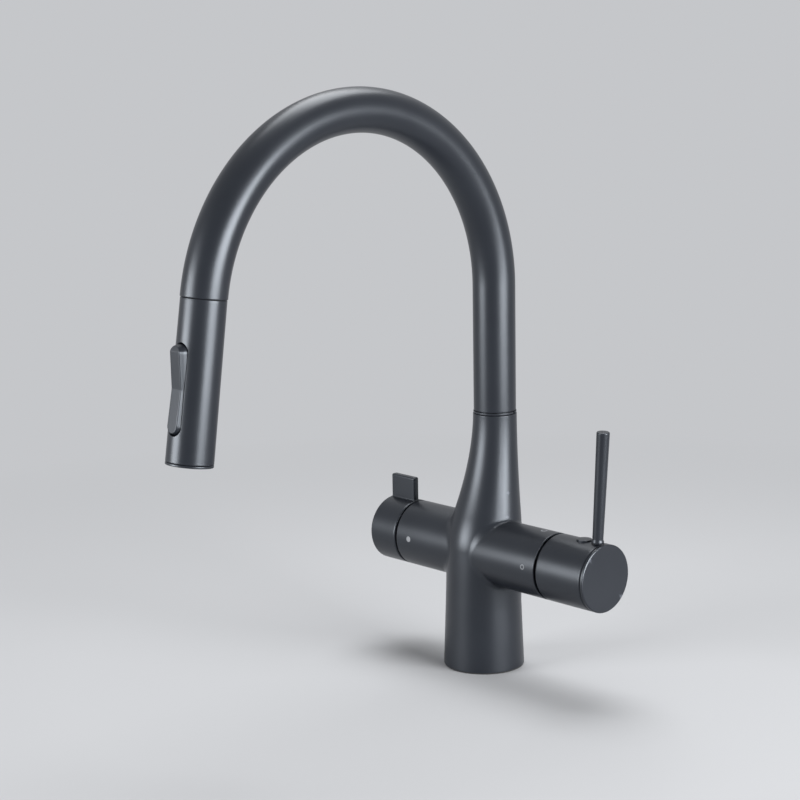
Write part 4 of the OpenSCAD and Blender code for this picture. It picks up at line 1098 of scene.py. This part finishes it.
def make_paddle(low, high):
    """The upright blade on the filter knob: a rounded block with softened top edges."""
    foot = ARM_H + sqrt(ARM_R ** 2 - high[1] ** 2)
    top = high[2]
    centre = (high + low) / 2
    side, depth = ((high - low) / 2)[:2] - PADDLE_EDGE

    def outline(inset, height):
        ring = []
        corner_r = PADDLE_EDGE - inset
        for sx, sy, start in ((1, 1, 0), (-1, 1, 90), (-1, -1, 180), (1, -1, 270)):
            for t in np.linspace(0, 90, 9):
                angle = radians(start + t)
                x = centre[0] + sx * side + corner_r * cos(angle)
                ring.append((x, centre[1] + sy * depth + corner_r * sin(angle), height))
        return ring

    bend = list(reversed(edge_arc(0, PADDLE_EDGE, 7)))[:-1]
    rings = [outline(-PADDLE_FOOT, z) for z in (low[2], foot - 0.1)]
    rings += [outline(outward, foot + up) for outward, up in edge_arc(0, PADDLE_FOOT, 7)]
    rings += [outline(0, z) for z in np.linspace(foot + 2 * PADDLE_FOOT, top - PADDLE_EDGE - 0.4, 6)]
    rings += [outline(-outward, top - down) for outward, down in bend]
    rings.append(outline(0.97 * PADDLE_EDGE, top))
    add_piece("paddle_blade", "filter_handle", filled(*lofted(rings, capped=True)),
              replaced=["filter_paddle"])


def make_swivel_ring():
    """The split ring under the spout."""
    low, high = ends("swivel_ring", 2)
    foot, lifted, top, seat = low + RING_PLAY, low + RING_LIFT, high - RING_PLAY, SPOUT_FOOT - RING_PLAY
    profile = rounded([
        (RING_R, lifted, 0.2), (RING_R, top, 0.2), (RING_STEP_R, top, 0), (RING_STEP_R, seat, 0),
        (RING_BORE, seat, 0), (RING_BORE, foot, 0), (RING_STEP_R, foot, 0), (RING_STEP_R, lifted, 0),
    ], closed=True, step=3)
    half = degrees(asin(RING_GAP / 2 / RING_R))
    angles = np.radians(np.linspace(RING_TURN + half, RING_TURN + 360 - half, 150))
    rings = [[(r * cos(a), r * sin(a), z) for r, z in profile] for a in angles]
    add_piece("split_ring", "base", filled(*lofted(rings, capped=True)), spout_frame, ["swivel_ring"])


def make_gasket():
    gasket = ring_profile(GASKET_R, GASKET_BORE, *ends("deck_gasket", 2), 0.25)
    turned("gasket_ring", "base", gasket, base_frame(), ["deck_gasket"], "black_rubber", closed=True)


def make_stud(spot):
    """The threaded rod: one helix of root and crest, trimmed square, with its lower end tapered."""
    low, high = ends("fixing_stud", 2)
    root = STUD_R - THREAD_DEPTH * STUD_PITCH
    section = [(root, 0.0), (root, 0.125), (STUD_R, 0.44), (STUD_R, 0.56), (root, 0.875)]
    size = len(section)
    per_turn = 32
    steps = (ceil((high - low) / STUD_PITCH) + 2) * per_turn
    verts = []
    for i in range(steps + 1):
        angle = 2 * pi * i / per_turn
        for r, offset in section:
            z = low - STUD_PITCH + STUD_PITCH * (i / per_turn + offset)
            r = min(r, max(STUD_R / 2, root - STUD_CHAMFER + (z - low)))
            verts.append((r * cos(angle), r * sin(angle), z))
    faces = []
    for i in range(steps):
        for a in range(i * size, (i + 1) * size - 1):
            faces.append((a, a + size, a + size + 1, a + 1))
        a, b = (i + 1) * size - 1, (i + per_turn) * size
        if i + per_turn < steps:
            faces.append((a, a + size, b + size, b))
    build = filled(verts, faces)
    for height, away in ((low, -1), (high, 1)):
        cut = bmesh.ops.bisect_plane(
            build, geom=build.verts[:] + build.edges[:] + build.faces[:], plane_co=(0, 0, height * MM),
            plane_no=(0, 0, away), clear_outer=True)
        rim = [e for e in cut["geom_cut"] if isinstance(e, bmesh.types.BMEdge)]
        bmesh.ops.holes_fill(build, edges=rim)
    add_piece("stud_thread", "base", build, base_frame(spot), ["fixing_stud"], "steel", sharp=50)


def brass_hexagon(name, corner_r, bore, low, high, place, replaced):
    """A hexagon bar with a bore and turned corners."""
    flat = corner_r * cos(pi / 6) - HEX_CHAMFER
    wide = corner_r - flat
    rise = [(flat + t * wide, t * wide / sqrt(3)) for t in np.linspace(0, 1, 6)]
    outer = [(r, low + z) for r, z in rise] + [(r, high - z) for r, z in rise[::-1]]
    inner = [(bore + HEX_LIP, high), (bore, high - HEX_LIP), (bore, low + HEX_LIP), (bore + HEX_LIP, low)]
    turned(name, "base", outer + inner, place, replaced, "brass", sides=96, closed=True, flats=6)


def make_fixing():
    """The threaded stud and its nut, and softer edges on the clamp under the worktop."""
    spot = (*(sum(ends("fixing_stud", axis)) / 2 for axis in (0, 1)), 0)
    make_stud(spot)
    brass_hexagon("long_nut", NUT_R, NUT_BORE, *ends("stud_nut", 2), base_frame(spot), ["stud_nut"])
    for node, width in (("clamp_plate", 0.35), ("clamp_rubber", 0.3)):
        soften = nodes[node].modifiers.new("soften", "BEVEL")
        soften.width = width * MM
        soften.segments = 2
        soften.limit_method = "ANGLE"
        soften.angle_limit = radians(50)


def make_hoses():
    """The two lengths of the braided hose that can show: the riser below the neck, with its coupling,
    and the tail at the gooseneck's end."""
    rise = RISER_TOP + HOSE_GAP - RISER_LOW
    lean = atan((SPOUT_BACK - RISER_BACK) / rise)
    riser_frame = base_frame((0, RISER_BACK, RISER_LOW), y=(0, cos(lean), -sin(lean)),
                             z=(0, sin(lean), cos(lean)))
    riser = ring_profile(HOSE_R, HOSE_BORE, 0, rise / cos(lean) - HOSE_GAP, 0.2, step=3)
    turned("riser_hose", "base", riser, riser_frame, ["hose_riser"], "hose_braid", sides=64, closed=True)
    brass_hexagon("riser_coupling", COUPLING_R, COUPLING_BORE, -COUPLING_DROP, COUPLING_LAP,
                  riser_frame, ["hose_coupling"])
    turns = np.linspace(bend_end - radians(TAIL_TURN), bend_end - TAIL_FOOT / BEND_R, 90)
    rings = [bend_ring(HOSE_R, turn, 64) for turn in turns]
    rings += [bend_ring(HOSE_BORE, turn, 64) for turn in turns[::-1]]
    verts, faces = lofted(rings, loop=True)
    tail = add_piece("tail_hose", None, filled(verts, faces), None, ["hose_tail"], "hose_braid")
    hose_weave("tail_braid", head_frame)
    tail.data.materials[0] = finishes["tail_braid"]
    points = [Vector(v) * MM for v in verts]
    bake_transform(tail)


def patch_mark(name, x, z, radii):
    """A small printed mark that lies on an arm: a disc, or a ring where its radii don't start at 0."""
    middle = asin((z - ARM_H) / ARM_R)

    def ring(r, reach):
        spots = [(x + r * cos(t), middle + r * sin(t) / ARM_R) for t in full_turn(48)]
        return [(along, -reach * cos(up), ARM_H + reach * sin(up)) for along, up in spots]

    rings = [ring(r, ARM_R + MARK_LIFT) for r in radii] + [ring(r, ARM_R - MARK_DEPTH) for r in radii[::-1]]
    mark = add_piece(name, "base", filled(*lofted(rings, loop=True)))
    mark.data.materials[0] = finishes["print_grey"]


def dress_nodes():
    """Gives each CAD node that still shows its material slot's finish."""
    slots = {p["node"]: p["material_slot"] for p in frame["record"]["subparts"]}
    for name, node in nodes.items():
        node.data.materials.clear()
        node.data.materials.append(finishes[slots[name]])
        if not node.hide_render:
            smooth(node.data, 30)


# Stage: a pale colour, the even light's strength, where the floor runs into the background in metres,
# and the radii of the floor's rings
PALE = (0.56, 0.57, 0.59)
EVEN_LIGHT = 0.12
FLOOR_FADE = (0.28, 0.75)
FLOOR_RINGS = (17.5, 30, 60, 150, 400, 1200, 4000, 20000)

# Lamps: name, place, target and size in metres, and power in watts
LAMPS = (
    ("left", (-0.55, -1.4, 0.34), (0, -0.1, 0.25), (0.8, 0.62), 20),
    ("right", (1.5, 0.15, 0.34), (0, -0.1, 0.25), (1.1, 0.62), 40),
    ("top", (-0.3, 0.35, 1.4), (0, -0.1, 0.3), (0.9, 0.8), 15),
)


def seen_directly(tree):
    """1 for rays that show the background: from the camera, in gloss and through glass."""
    path = shader(tree, "LightPath", {}).node.outputs
    total = maths(tree, "MAXIMUM", path["Is Camera Ray"], path["Is Glossy Ray"])
    return maths(tree, "MAXIMUM", total, path["Is Transmission Ray"])


def make_background():
    """Even light from all round, and a pale colour where the background is seen."""
    world = bpy.data.worlds.new("studio")
    bpy.context.scene.world = world
    world.use_nodes = True
    tree = world.node_tree
    light = tree.nodes["Background"]
    set_inputs(tree, light, {"Color": (1, 1, 1, 1), "Strength": EVEN_LIGHT})
    shown = shader(tree, "Background", {"Color": (*PALE, 1)})
    mix = shader(tree, "MixShader", {0: seen_directly(tree), 1: light.outputs[0], 2: shown})
    set_inputs(tree, tree.nodes["World Output"], {"Surface": mix})


def make_floor():
    """A pale matte floor that runs into the background, with a hole under the column."""
    verts, faces = lofted([circle(r, 0, 96) for r in FLOOR_RINGS])
    mesh = bpy.data.meshes.new("floor")
    mesh.from_pydata([Vector(v) * MM for v in verts], [], faces)
    floor = new_object("floor", mesh)
    tree, principled = shader_nodes("floor")
    set_inputs(tree, principled, {"Base Color": (*PALE, 1), "Roughness": 0.9, "Specular IOR Level": 0.0})
    distance = shader(tree, "VectorMath", {0: own_place(tree)}, "Value", operation="LENGTH")
    amount = maths(tree, "MULTIPLY", between(tree, distance, 0, 1, *FLOOR_FADE), seen_directly(tree))
    glow = shader(tree, "Emission", {"Color": (*PALE, 1)})
    mix = shader(tree, "MixShader", {0: amount, 1: principled.outputs[0], 2: glow})
    set_inputs(tree, tree.nodes["Material Output"], {"Surface": mix})
    mesh.materials.append(finishes["floor"])


def soft_light(name, place, target, size, power):
    lamp = bpy.data.lights.new(name, "AREA")
    lamp.shape = "RECTANGLE"
    lamp.size, lamp.size_y = size
    lamp.energy = power
    holder = new_object(name, lamp)
    holder.location = Vector(place)
    holder.rotation_mode = "QUATERNION"
    holder.rotation_quaternion = (Vector(target) - Vector(place)).to_track_quat("-Z", "Y")
    holder.visible_camera = False


# Camera, fitted to the photograph
CAMERA_AZIMUTH = 47.11
CAMERA_ELEVATION = 11.06
CAMERA_ROLL = -0.95
CAMERA_DISTANCE = 1405.6
CAMERA_LENS = 93.8
CAMERA_SIDE = -53.78
CAMERA_UP = 177.66


def make_camera():
    a, e, r = (radians(v) for v in (CAMERA_AZIMUTH, CAMERA_ELEVATION, CAMERA_ROLL))
    back = Vector((sin(a) * cos(e), -cos(a) * cos(e), sin(e)))
    right = Vector((cos(a), sin(a), 0))
    up = back.cross(right)
    place = back * CAMERA_DISTANCE + right * CAMERA_SIDE + up * CAMERA_UP
    rolled_right = right * cos(r) + up * sin(r)
    rolled_up = up * cos(r) - right * sin(r)
    data = bpy.data.cameras.new("camera")
    data.lens = CAMERA_LENS
    data.sensor_width = 36
    data.clip_start, data.clip_end = 0.01, 50
    frame_at = base_frame(place, rolled_right, rolled_up, back)
    bpy.context.scene.camera = new_object("camera", data, frame_at)


make_camera()
make_casting()
make_spout()
make_head_shell()
make_head_seat()
make_rocker()
make_face()
make_mixer_knob()
make_filter_knob()
make_swivel_ring()
make_gasket()
make_fixing()
make_hoses()
for mark in MARKS:
    patch_mark(*mark)
dress_nodes()
make_background()
make_floor()
for lamp in LAMPS:
    soft_light(*lamp)
bpy.context.scene.view_settings.view_transform = "Standard"
